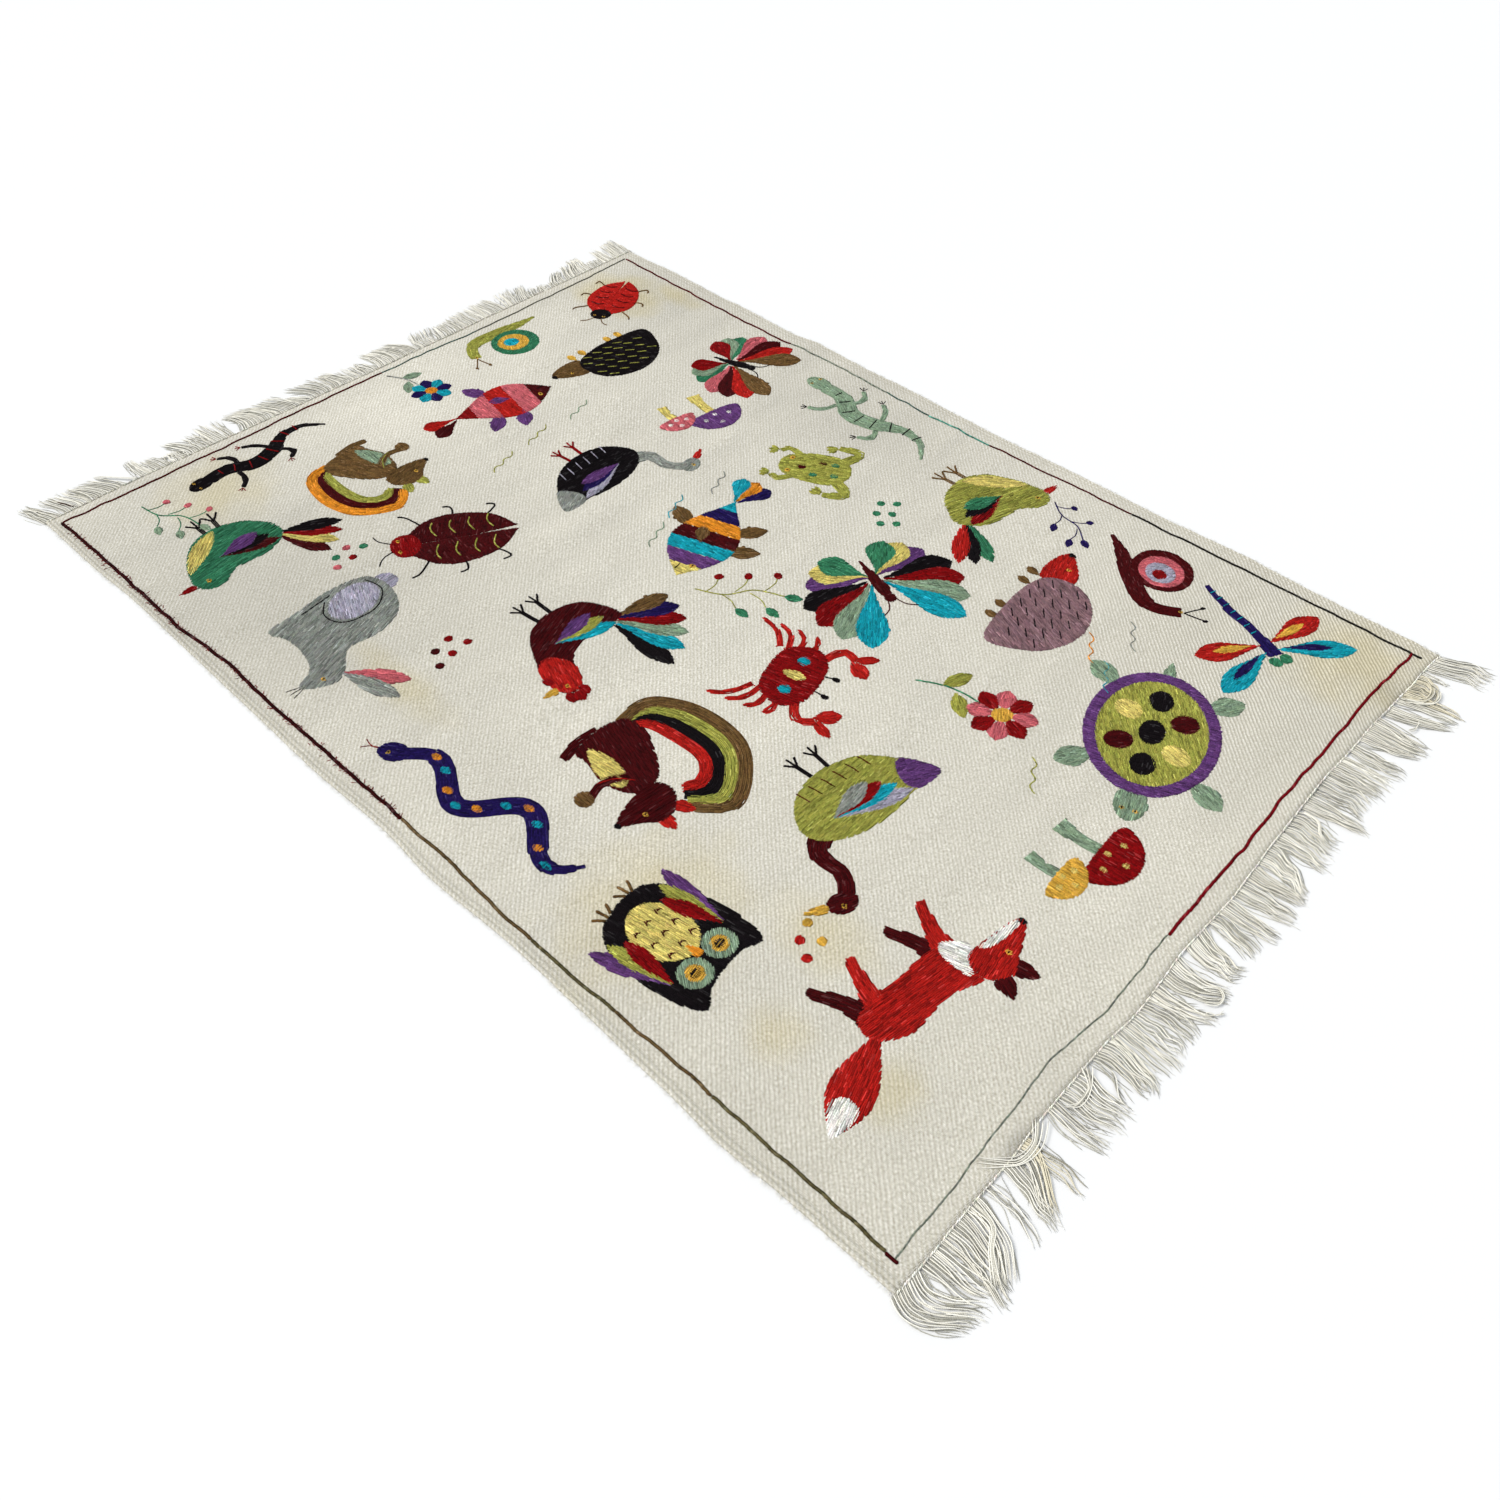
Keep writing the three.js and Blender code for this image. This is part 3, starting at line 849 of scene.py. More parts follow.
    def stem(self, route, colour, wide=2.4, layer=3, soft=True):
        """Stem stitch along a route."""
        line = soft_curve(route, closed=False) if soft else np.array(route, float)
        s = np.concatenate([[0], np.cumsum(np.linalg.norm(np.diff(line, axis=0), axis=1))])
        for start in np.arange(0, max(s[-1] - STEM_STEP / 2, 1), STEM_STEP):
            reach = np.array([start, min(start + STEM_LONG, s[-1])])
            ends = np.column_stack([np.interp(reach, s, line[:, i]) for i in (0, 1)])
            heading = ends[1] - ends[0]
            aside = np.array([-heading[1], heading[0]]) / (np.linalg.norm(heading) + 1e-9) * 0.5
            sway = self.chance.normal(0, STEM_SWAY, (2, 2))
            a, b = ends[0] - aside + sway[0], ends[1] + aside + sway[1]
            self.stitch(a, b, wide, wide * 0.6, layer, colour)

    def sew(self, name, x, y, turn=180.0, size=1.0, flip=False):
        """Makes the mesh, with the drawing's middle at x, y on the rug, in millimetres."""
        noted = np.array(self.stitches)
        c, s = math.cos(math.radians(turn)), math.sin(math.radians(turn))
        starts, ends = noted[:, None, 0:2], noted[:, None, 2:4]
        flat = (starts + STITCH_SHARES[:, None] * (ends - starts)) * size
        flat = flat * (-1 if flip else 1, 1) @ np.array([[c, s], [-s, c]]) + (x, y)
        wide, high, layer = (np.repeat(noted[:, i : i + 1], 4, axis=1) for i in (4, 5, 6))
        ground = tops_of(flat[..., 0] * MM, flat[..., 1] * MM) / MM
        middle = flat[:, 1:3].mean(axis=1) * MM
        hump_there = tops_of(middle[:, 0], middle[:, 1]) / MM - ground[:, 1:3].mean(axis=1)
        ground[:, 1:3] += np.maximum(hump_there, 0)[:, None]
        rise = ground + layer * LAYER + high * STITCH_ARCH
        paths = np.concatenate([flat, rise[..., None]], axis=2) * MM
        half_width, half_height = wide * STITCH_FULL[0] * MM, high * STITCH_FULL[1] * MM
        made = spindles(name, paths, half_width, half_height, 3, noted[:, 7:])
        made.data.materials.append(thread.material)
        print(f"{name}: {len(noted)} stitches, {triangles_of(made)} triangles")
        return made


# %% [markdown]
# ## The creatures
# The rug is worked with a free scatter of creatures and plants. The ones here are plain forms of
# this script's own. Each has a function that takes its thread colours, so that one drawing
# serves in several colourings. Each faces right and stands upright; `sew` turns it on the rug.

# %% Small common parts


TOES = (-48, 0, 48)
TOE_LONG = 15
ANKLE = 6


def eye(work, x, y, size=8.0):
    """A yellow ring with a short black stitch over it."""
    work.fill(oval(x, y, size, size), "mustard", layer=1)
    work.stem([(x - 1.5, y), (x + 1.5, y)], "black", 3.4, 3, soft=False)


def foot(work, x, y, long, colour, turn=-90.0, wide=6.0):
    """A leg with three toes."""
    c, s = math.cos(math.radians(turn)), math.sin(math.radians(turn))
    end = (x + long * c, y + long * s)
    ankle = (x + (long - ANKLE) * c, y + (long - ANKLE) * s)
    work.follow([(x, y), end], [wide, wide], colour)
    for spread in TOES:
        angle = math.radians(turn + spread)
        toe = (end[0] + TOE_LONG * math.cos(angle), end[1] + TOE_LONG * math.sin(angle))
        work.stem([ankle, toe], colour, 4.2, 0, soft=False)


def feathers(work, x, y, colours, long, wide, start, step, shrink=0.0, fullest=0.62):
    """Petals side by side from one root, turning by a step from each to the next."""
    for i, colour in enumerate(colours):
        angle = start + i * step
        work.fill(petal(x, y, long - shrink * i, wide, angle, fullest), colour, angle)


def chevrons(work, places, size, turn, colour):
    """Small open arrows, one to each place."""
    for x, y in places:
        arms = [math.radians(turn + a) for a in (148, -148)]
        ends = [(x + size * math.cos(arm), y + size * math.sin(arm)) for arm in arms]
        work.stem([ends[0], (x, y), ends[1]], colour, soft=False)


# %% Birds


def wren(work, body, breast, wing, tail, beak, legs):
    """A round bird with a cocked tail."""
    feathers(work, -52, 14, tail, 92, 24, 118, 14)
    side = blob(
        (-66, 6), (-52, 34), (-18, 46), (18, 50), (38, 66), (62, 68), (76, 52),
        (74, 32), (66, 4), (44, -30), (6, -46), (-38, -34),
    )
    work.fill(side, body, 14)
    work.fill(blob((70, 26), (64, 2), (42, -28), (8, -42), (20, -14), (42, 8)), breast, 50)
    feathers(work, 26, 16, wing, 84, 24, 172, 12, shrink=9)
    work.fill(petal(72, 52, 27, 12, 4, 0.25), beak, 4)
    eye(work, 56, 52)
    foot(work, -2, -42, 24, legs)
    foot(work, 18, -40, 24, legs, turn=-84)


def rooster(work, body, hackle, wing, tail, comb, legs):
    """A rooster with a fan of tail feathers."""
    feathers(work, -50, 16, tail, 132, 30, 92, 15, shrink=6, fullest=0.7)
    side = blob(
        (-76, 20), (-40, 26), (2, 24), (36, 44), (60, 88), (84, 90), (90, 64),
        (78, 16), (46, -36), (-4, -54), (-54, -36),
    )
    work.fill(side, body, 20)
    work.fill(blob((40, 46), (60, 90), (86, 88), (92, 62), (82, 24), (58, 14)), hackle, 70)
    feathers(work, 34, 2, wing, 96, 24, 164, 13, shrink=8)
    for x, y in ((64, 98), (75, 103), (86, 98)):
        work.fill(oval(x, y, 15, 22), comb, 90)
    work.fill(petal(88, 74, 28, 13, -6, 0.25), "mustard", -6)
    work.fill(oval(88, 52, 13, 21), comb, 90)
    eye(work, 76, 78)
    foot(work, -6, -50, 36, legs)
    foot(work, 18, -46, 38, legs, turn=-82)


def goose(work, body, neck, wing, rump, beak, legs, line):
    """A long-necked bird at rest."""
    work.follow([(62, 20), (96, 48), (92, 92), (112, 122)], [40, 26, 20, 22], neck)
    work.fill(oval(122, 126, 46, 32, -12), neck, -12)
    work.fill(petal(140, 122, 38, 14, -22, 0.25), beak, -22)
    side = blob(
        (-128, 34), (-84, 44), (-30, 56), (30, 56), (78, 36), (90, 2),
        (62, -40), (6, -60), (-54, -50), (-98, -14),
    )
    work.fill(side, body, 8)
    work.fill(blob((-134, 40), (-84, 46), (-76, 18), (-100, -12)), rump, -20)
    feathers(work, 44, 16, wing, 128, 27, 168, 9, shrink=14)
    for i in range(6):
        work.stem([(-62 + 22 * i, -24), (-56 + 22 * i, -48)], line)
    eye(work, 124, 131)
    foot(work, -14, -58, 32, legs)
    foot(work, 16, -58, 32, legs, turn=-80)


def owl(work, body, chest, wing, face, claws, line):
    """An owl seen from the front."""
    for x in (-20, 20):
        for turn in (-122, -90, -58):
            angle = math.radians(turn)
            toe = (x + 26 * math.cos(angle), -76 + 26 * math.sin(angle))
            work.stem([(x, -76), toe], claws, 5.2, 0, soft=False)
    side = blob(
        (-56, 78), (-26, 66), (26, 66), (56, 78), (68, 30), (62, -36), (34, -82),
        (-34, -82), (-62, -36), (-68, 30),
    )
    work.fill(side, body, 90)
    work.fill(oval(0, -22, 74, 96), chest, 90)
    feathers(work, -50, 34, wing, 112, 22, -100, 10, shrink=12)
    feathers(work, 50, 34, wing, 112, 22, -80, -10, shrink=12)
    for x in (-24, 24):
        work.fill(oval(x, 40, 44, 44), face, 45)
        work.fill(oval(x, 40, 25, 25), "mustard")
        work.fill(oval(x, 40, 15, 15), "black", 90)
    work.fill(petal(0, 34, 26, 13, -90, 0.25), "orange", -90)
    chevrons(work, [(x, y) for y in (0, -24, -48) for x in (-20, 0, 20)], 9, -90, line)


# %% Creatures of wood and field


def tortoise(work, shell, edge, skin, plates):
    """A tortoise from above."""
    for x, y, turn in ((-74, 62, 128), (70, 66, 52), (-74, -62, -128), (70, -66, -52)):
        work.fill(petal(x, y, 74, 40, turn, 0.6), skin, turn)
    work.fill(petal(-116, 0, 50, 20, 180, 0.3), skin, 180)
    work.fill(oval(152, 0, 72, 48), skin)
    work.fill(oval(0, 0, 268, 206), edge, 90)
    work.fill(oval(0, 0, 228, 168), shell, 24)
    for i, colour in enumerate(plates):
        turn = 360 * i / len(plates)
        x, y = 70 * math.cos(math.radians(turn)), 50 * math.sin(math.radians(turn))
        work.fill(oval(x, y, 48, 40, turn), colour, turn)
    work.fill(oval(0, 0, 56, 42), plates[0], 90)
    for y in (10, -10):
        eye(work, 166, y)


def hedgehog(work, coat, face, feet, line):
    """A hedgehog in profile."""
    for x in (-66, -36, 36, 64):
        work.fill(petal(x, -40, 28, 16, -82, 0.6), feet, -82)
    work.fill(blob((60, -34), (70, 8), (98, 10), (142, -22), (128, -40), (84, -46)), face, -12)
    side = blob(
        (-116, -38), (-112, 12), (-78, 58), (-20, 80), (38, 66), (72, 30), (74, -20),
        (40, -44), (-40, -50),
    )
    work.fill(side, coat, 118)
    for row, y in enumerate((50, 28, 6, -16, -34)):
        for x in range(-96 + 14 * (row % 2), 66, 28):
            if (x / 96) ** 2 + ((y - 8) / 62) ** 2 < 0.95:
                work.stem([(x + 8, y - 4), (x - 9, y + 8)], line, soft=False)
    work.fill(oval(140, -24, 13, 13), "black")
    eye(work, 104, -10)


def snail(work, body, rings, line):
    """A snail in profile, its shell a target of colours."""
    for tip in ((98, 62), (134, 56)):
        work.stem([(110, 22), tip], line, 3.0, 0)
        work.fill(oval(*tip, 9, 9), line)
    route = [(-128, -58), (-70, -52), (10, -52), (72, -46), (98, -18), (110, 20)]
    work.follow(route, [5, 26, 38, 38, 30, 26], body)
    for i, colour in enumerate(rings):
        size = 128 * (1 - i / len(rings))
        work.fill(oval(-14 + 4 * i, 14 - 3 * i, size, size * 0.94), colour, 30 + 37 * i)
    eye(work, 108, 16)


def hare(work, coat, belly, ear, line):
    """A sitting hare."""
    work.fill(oval(-106, -34, 38, 36), belly)
    for turn, colour in ((122, ear), (102, coat)):
        work.fill(petal(54, 66, 100, 27, turn, 0.6), colour, turn)
    side = blob(
        (-96, -62), (-104, -18), (-78, 28), (-28, 44), (18, 38), (46, 66), (74, 78),
        (104, 60), (108, 46), (80, 32), (66, 0), (62, -38), (70, -72), (18, -76), (-46, -78),
    )
    work.fill(side, coat, 16)
    work.fill(oval(-50, -34, 86, 64, 12), belly, 60)
    work.stem([(-88, -58), (-92, -24), (-58, 2), (-12, -8), (-2, -40), (-20, -62)], line)
    work.stem([(-34, -68), (18, -66)], line)
    for y in (-9, 0, 9):
        work.stem([(98, 52), (126, 50 + y)], line, 1.6, 0)
    eye(work, 78, 60)


def fox(work, coat, tip, leg):
    """A trotting fox."""
    work.fill(petal(-66, 8, 132, 50, 158, 0.62), coat, 158)
    work.fill(petal(-148, 41, 50, 32, 158, 0.3), tip, 158)
    legs = ((-66, -30, leg), (-52, 22, coat), (44, -22, leg), (52, 30, coat))
    for x, stride, colour in legs:
        work.follow([(x, -4), (x + stride * 0.3, -36), (x + stride, -76)], [36, 18, 11], colour)
    body = blob(
        (-86, 10), (-50, 34), (12, 30), (60, 42), (76, 14), (56, -20), (-20, -20), (-76, -18)
    )
    work.fill(body, coat, 4)
    work.fill(blob((48, 30), (70, 16), (78, -2), (56, -22), (44, -8)), tip, 70)
    for x, turn in ((74, 112), (92, 74)):
        work.fill(petal(x, 46, 38, 22, turn, 0.4), leg, turn)
    head = blob((56, 42), (82, 60), (108, 48), (146, 26), (142, 15), (100, 10), (62, 12))
    work.fill(head, coat, -14)
    work.fill(blob((142, 22), (138, 13), (100, 10), (80, 12), (100, 22)), tip, -10)
    work.fill(oval(145, 21, 11, 11), "black")
    eye(work, 102, 37)


def squirrel(work, coat, belly, tail, ear):
    """A squirrel with a nut, its tail in bands."""
    for i, colour in enumerate(tail):
        out = 17 * i
        route = [
            (-24, -62), (-56 - out * 0.6, -46 - out * 0.3), (-66 - out, 6),
            (-62 - out * 0.8, 56 + out * 0.5), (-34, 80 + out), (-8 + out * 0.3, 66 + out * 0.5),
        ]
        work.follow(route, [16, 19, 20, 20, 19, 13], colour)
    work.follow([(-6, -72), (28, -76), (58, -70)], [16, 17, 11], coat)
    body = blob(
        (-44, -66), (-48, -34), (-30, 2), (-4, 34), (30, 38), (46, 12), (48, -16), (40, -44),
        (36, -70), (-4, -76),
    )
    work.fill(body, coat, 72)
    front = blob((22, -62), (14, -26), (22, 8), (38, 16), (46, 0), (46, -22), (38, -44))
    work.fill(front, belly, 96)
    for x, turn in ((18, 112), (38, 86)):
        work.fill(petal(x, 70, 38, 18, turn, 0.5), ear, turn)
    head = blob(
        (0, 44), (0, 66), (18, 84), (44, 86), (62, 70), (84, 54), (78, 44), (50, 36), (20, 32)
    )
    work.fill(head, coat, -8)
    work.fill(oval(82, -6, 24, 28), "brown", 90)
    work.follow([(20, 8), (50, -8), (76, -2)], [15, 13, 10], coat)
    work.stem([(20, 18), (34, -2), (56, -12)], ear, 1.8)
    work.fill(oval(84, 52, 9, 9), "black")
    eye(work, 50, 64)


def lizard(work, back, bands, line):
    """A lizard from above, its back barred across."""
    route = [(-190, 26), (-150, -14), (-96, -20), (-40, 14), (20, 22), (76, -8), (128, -6)]
    for x, y, turn in ((-58, 22, 120), (-44, -6, -60), (62, 22, 80), (44, -4, -100)):
        c, s = math.cos(math.radians(turn)), math.sin(math.radians(turn))
        knee = (x + 34 * c, y + 34 * s)
        heel = (knee[0] + 26, knee[1] + 22 * s)
        work.follow([(x, y), knee, heel], [12, 11, 8], back)
        for spread in (-36, 0, 36):
            toe = math.radians(turn * 0.5 + spread)
            end = (heel[0] + 14 * math.cos(toe), heel[1] + 14 * math.sin(toe))
            work.stem([heel, end], line, 2.2, 0)
    work.follow(route, [4, 14, 24, 40, 44, 38, 34], back)
    work.fill(oval(146, -6, 62, 42, 4), back)
    path = soft_curve(route, closed=False)
    for i, colour in zip(range(12, len(path) - 6, 5), bands * 10):
        heading = path[i + 1] - path[i]
        aside = np.array([-heading[1], heading[0]]) / np.linalg.norm(heading)
        half = 5 + 12 * math.sin(math.pi * i / len(path))
        work.stem([path[i] - aside * half, path[i] + aside * half], colour, 2.8)
    for y in (7, -19):
        eye(work, 156, y)


def snake(work, skin, diamonds, line):
    """A snake in four soft bends."""
    share = np.linspace(0, 1, 25)
    bends = 36 * np.sin(4 * np.pi * share) * (1 - 0.35 * share)
    route = np.column_stack([-190 + 360 * share, bends])
    for tip in ((236, 12), (232, 30)):
        work.stem([(198, 10), (220, 18), tip], line, 2.0, 0)
    work.follow(route, [5, 22, 30, 33, 33, 33, 31, 27, 24], skin)
    work.fill(oval(184, 6, 54, 36, 24), skin, 24)
    for spot, colour in zip(route[3:-2:2], diamonds * 10):
        work.fill(oval(*spot, 19, 15), colour, 90)
    eye(work, 190, 12)


# %% Small creatures


def frog(work, skin, spots):
    """A frog from above."""
    for side in (-1, 1):
        feathers(work, -22, 70 * side, [skin] * 3, 26, 9, -30 * side - 20, 20)
        feathers(work, 78, 34 * side, [skin] * 3, 22, 8, -28, 28)
        work.follow([(-34, 26 * side), (-62, 62 * side), (-20, 70 * side)], [22, 19, 14], skin)
        work.follow([(34, 26 * side), (62, 46 * side), (78, 34 * side)], [14, 13, 11], skin)
    back = blob((-58, 0), (-40, 36), (14, 42), (60, 26), (72, 0), (60, -26), (14, -42), (-40, -36))
    work.fill(back, skin)
    places = ((-30, 14), (-4, -16), (6, 20), (30, 2), (-26, -16))
    for (x, y), colour in zip(places, spots * 3):
        work.fill(oval(x, y, 17, 14), colour, 20)
    for side in (-1, 1):
        eye(work, 52, 19 * side, 12)


def crab(work, shell, claws, patches):
    """A crab from above."""
    for side in (-1, 1):
        for i in range(4):
            hip, y = (40 * side, -4 - 12 * i), 10 - 10 * i
            knee, tip = (70 * side, hip[1] + y), (84 * side, hip[1] - 18 + 1.6 * y)
            work.follow([hip, knee, tip], [10, 8, 5], claws)
        for turn, wide in ((90 + 34 * side, 25), (90 - 30 * side, 16)):
            work.fill(petal(62 * side, 58, 42, wide, turn, 0.55), claws, turn)
        work.follow([(38 * side, 22), (74 * side, 40), (64 * side, 66)], [14, 13, 13], claws)
        work.stem([(14 * side, 30), (18 * side, 54)], "black", 3.0, 0)
        work.fill(oval(18 * side, 56, 11, 11), "black")
    work.fill(blob((-60, 8), (-34, 38), (34, 38), (60, 8), (38, -34), (-38, -34)), shell, 90)
    for i, colour in enumerate(patches):
        x = -30 + 60 * i / (len(patches) - 1)
        work.fill(oval(x, 2, 17, 36 - abs(x) / 2), colour, 90)


def beetle(work, head, wings, bars, line):
    """A beetle from above."""
    for side in (-1, 1):
        for x, spread in ((-44, 128), (0, 96), (42, 60)):
            angle = math.radians(spread * side)
            knee = (x + 66 * math.cos(angle), 66 * math.sin(angle) + 22 * side)
            work.stem([(x, 30 * side), knee, (knee[0] + 16, knee[1] + 8 * side)], line, 4.0, 0)
        work.stem([(108, 8 * side), (132, 24 * side), (140, 42 * side)], line, 2.6, 0)
    for side in (-1, 1):
        case = blob(
            (74, 2 * side), (60, 50 * side), (6, 72 * side), (-66, 56 * side),
            (-104, 16 * side), (-94, 2 * side),
        )
        work.fill(case, wings, 90 + 18 * side)
        for i, colour in enumerate(bars):
            x = -70 + 34 * i
            work.stem([(x, 12 * side), (x + 8, 34 * side), (x + 2, 52 * side)], colour, 3.0)
    work.fill(oval(88, 0, 54, 62), head, 90)
    for side in (-1, 1):
        eye(work, 100, 14 * side)


def butterfly(work, fore, hind, body):
    """A butterfly with its wings spread, heading up."""
    for side in (-1, 1):
        for i, colour in enumerate(hind):
            angle = 90 - side * (104 + 19 * i)
            work.fill(petal(5 * side, 0, 108 - 8 * i, 50, angle, 0.7), colour, angle)
        for i, colour in enumerate(fore):
            angle = 90 - side * (84 - 18 * i)
            work.fill(petal(5 * side, 6, 132 + 9 * i, 52, angle, 0.72), colour, angle)
        work.stem([(3 * side, 44), (14 * side, 76), (32 * side, 88)], body, 2.6, 0)
    work.fill(petal(0, -60, 122, 22, 90, 0.7), body, 90)
    work.fill(oval(0, 54, 21, 21), body)


def dragonfly(work, body, wings, veins, eyes):
    """A dragonfly heading up."""
    for side in (-1, 1):
        for i, (colour, vein) in enumerate(zip(wings, veins)):
            turn = 90 - side * (68 + 32 * i)
            work.fill(petal(6 * side, 44 - 16 * i, 150 - 18 * i, 46, turn, 0.66), colour, turn)
            work.fill(petal(20 * side, 45 - 22 * i, 96 - 14 * i, 18, turn, 0.62), vein, turn)
        work.fill(oval(11 * side, 72, 23, 25), eyes, 60 * side)
    work.follow([(0, -146), (4, -80), (-2, -10), (0, 60)], [9, 15, 17, 30], body)
    for y in range(-126, 10, 20):
        work.stem([(-7, y), (8, y + 2)], wings[0])


def fish(work, bands, tail, fins, line):
    """A deep fish, its side in bands of colour from tail to face."""
    feathers(work, -84, 0, tail, 74, 32, 148, 64 / len(tail), fullest=0.75)
    for x, y, turn in ((-14, 34, 128), (30, 40, 112), (-6, -36, -126)):
        work.fill(petal(x, y, 58, 30, turn, 0.5), fins, turn)
    cuts = np.linspace(-96, 112, len(bands) + 1)
    for start, end, colour in zip(cuts, cuts[1:], bands):
        x = np.linspace(start, end, 8)
        half = 56 * np.sin(np.pi * ((x + 96) / 208) ** 1.2)
        band = np.concatenate([np.column_stack([x, half]), np.column_stack([x, -half])[::-1]])
        work.fill(band, colour, 78)
    work.fill(petal(28, -4, 46, 24, 196, 0.6), fins, 196)
    work.stem([(84, -8), (98, -11)], line)
    eye(work, 82, 12, 11)


# %% Plants and small marks


def mushrooms(work, caps, stalk, dots):
    """A tall and a short mushroom."""
    for (x, y, size), cap in zip(((-30, 10, 1.0), (40, -16, 0.7)), caps):
        foot_line = [(x - 4 * size, y - 74 * size), (x + 2 * size, y - 34 * size), (x, y)]
        work.follow(foot_line, [28 * size, 19 * size, 22 * size], stalk)
        rim = ((-54, -4), (-40, 34), (0, 50), (40, 34), (54, -4), (0, -12))
        work.fill(blob(*((x + a * size, y + b * size) for a, b in rim)), cap, 90)
        for a, b in ((-26, 12), (2, 30), (26, 10), (0, 2)):
            work.fill(oval(x + a * size, y + b * size, 12, 10), dots)


def sprig(work, stem, leaves, berries, bends):
    """A stem with leaves and berries to both sides."""
    work.stem([(0, 0), (20, 60), (8, 120), (30, 180)], stem, 3.0, 0)
    for i in range(bends):
        side = 1 if i % 2 else -1
        x, y = 14 + 6 * side, 26 + 150 * i / bends
        tip = (x + 42 * side, y + 24)
        work.stem([(x - 4 * side, y - 6), (x + 18 * side, y + 16), tip], stem, 2.2, 0)
        if berries and i % 2 == 0:
            work.fill(oval(*tip, 20, 18), berries[i % len(berries)], 30 * i)
        else:
            work.fill(petal(*tip, 38, 19, 90 - 50 * side, 0.45), leaves, 90 - 50 * side)
    work.fill(petal(30, 178, 40, 21, 74, 0.45), leaves, 74)


def bloom(work, stem, petals, heart, leaf):
    """A flower on a curved stem."""
    work.stem([(0, -80), (-10, -24), (6, 38)], stem, 3.6, 0)
    for x, y, turn in ((-8, -40, 144), (-4, -18, 34)):
        work.fill(petal(x, y, 54, 25, turn, 0.5), leaf, turn)
    for i in range(8):
        turn = 45 * i + 10
        c, s = math.cos(math.radians(turn)), math.sin(math.radians(turn))
        work.fill(petal(8 + 8 * c, 58 + 8 * s, 46, 30, turn, 0.6), petals[i % len(petals)], turn)
    work.fill(oval(8, 58, 32, 32), heart, 20)


def seeds(work, colours, places):
    """Small ovals, one to each place."""
    for i, (x, y) in enumerate(places):
        work.fill(oval(x, y, 18, 14, 40 * i), colours[i % len(colours)], 40 * i)


def water(work, colours, lines):
    """Short wavy lines, one to each place."""
    for i, (x, y) in enumerate(lines):
        route = [(x + 15 * k, y + (5 if k % 2 else -5) + 3 * k) for k in range(6)]
        work.stem(route, colours[i % len(colours)], 2.4, 0)


# %% [markdown]
# ## The layout
# Each row of the table is a creature or plant: its name, the function that draws it, its place on
# the rug in millimetres, its turn and size, and its threads. Upright means towards the near end.

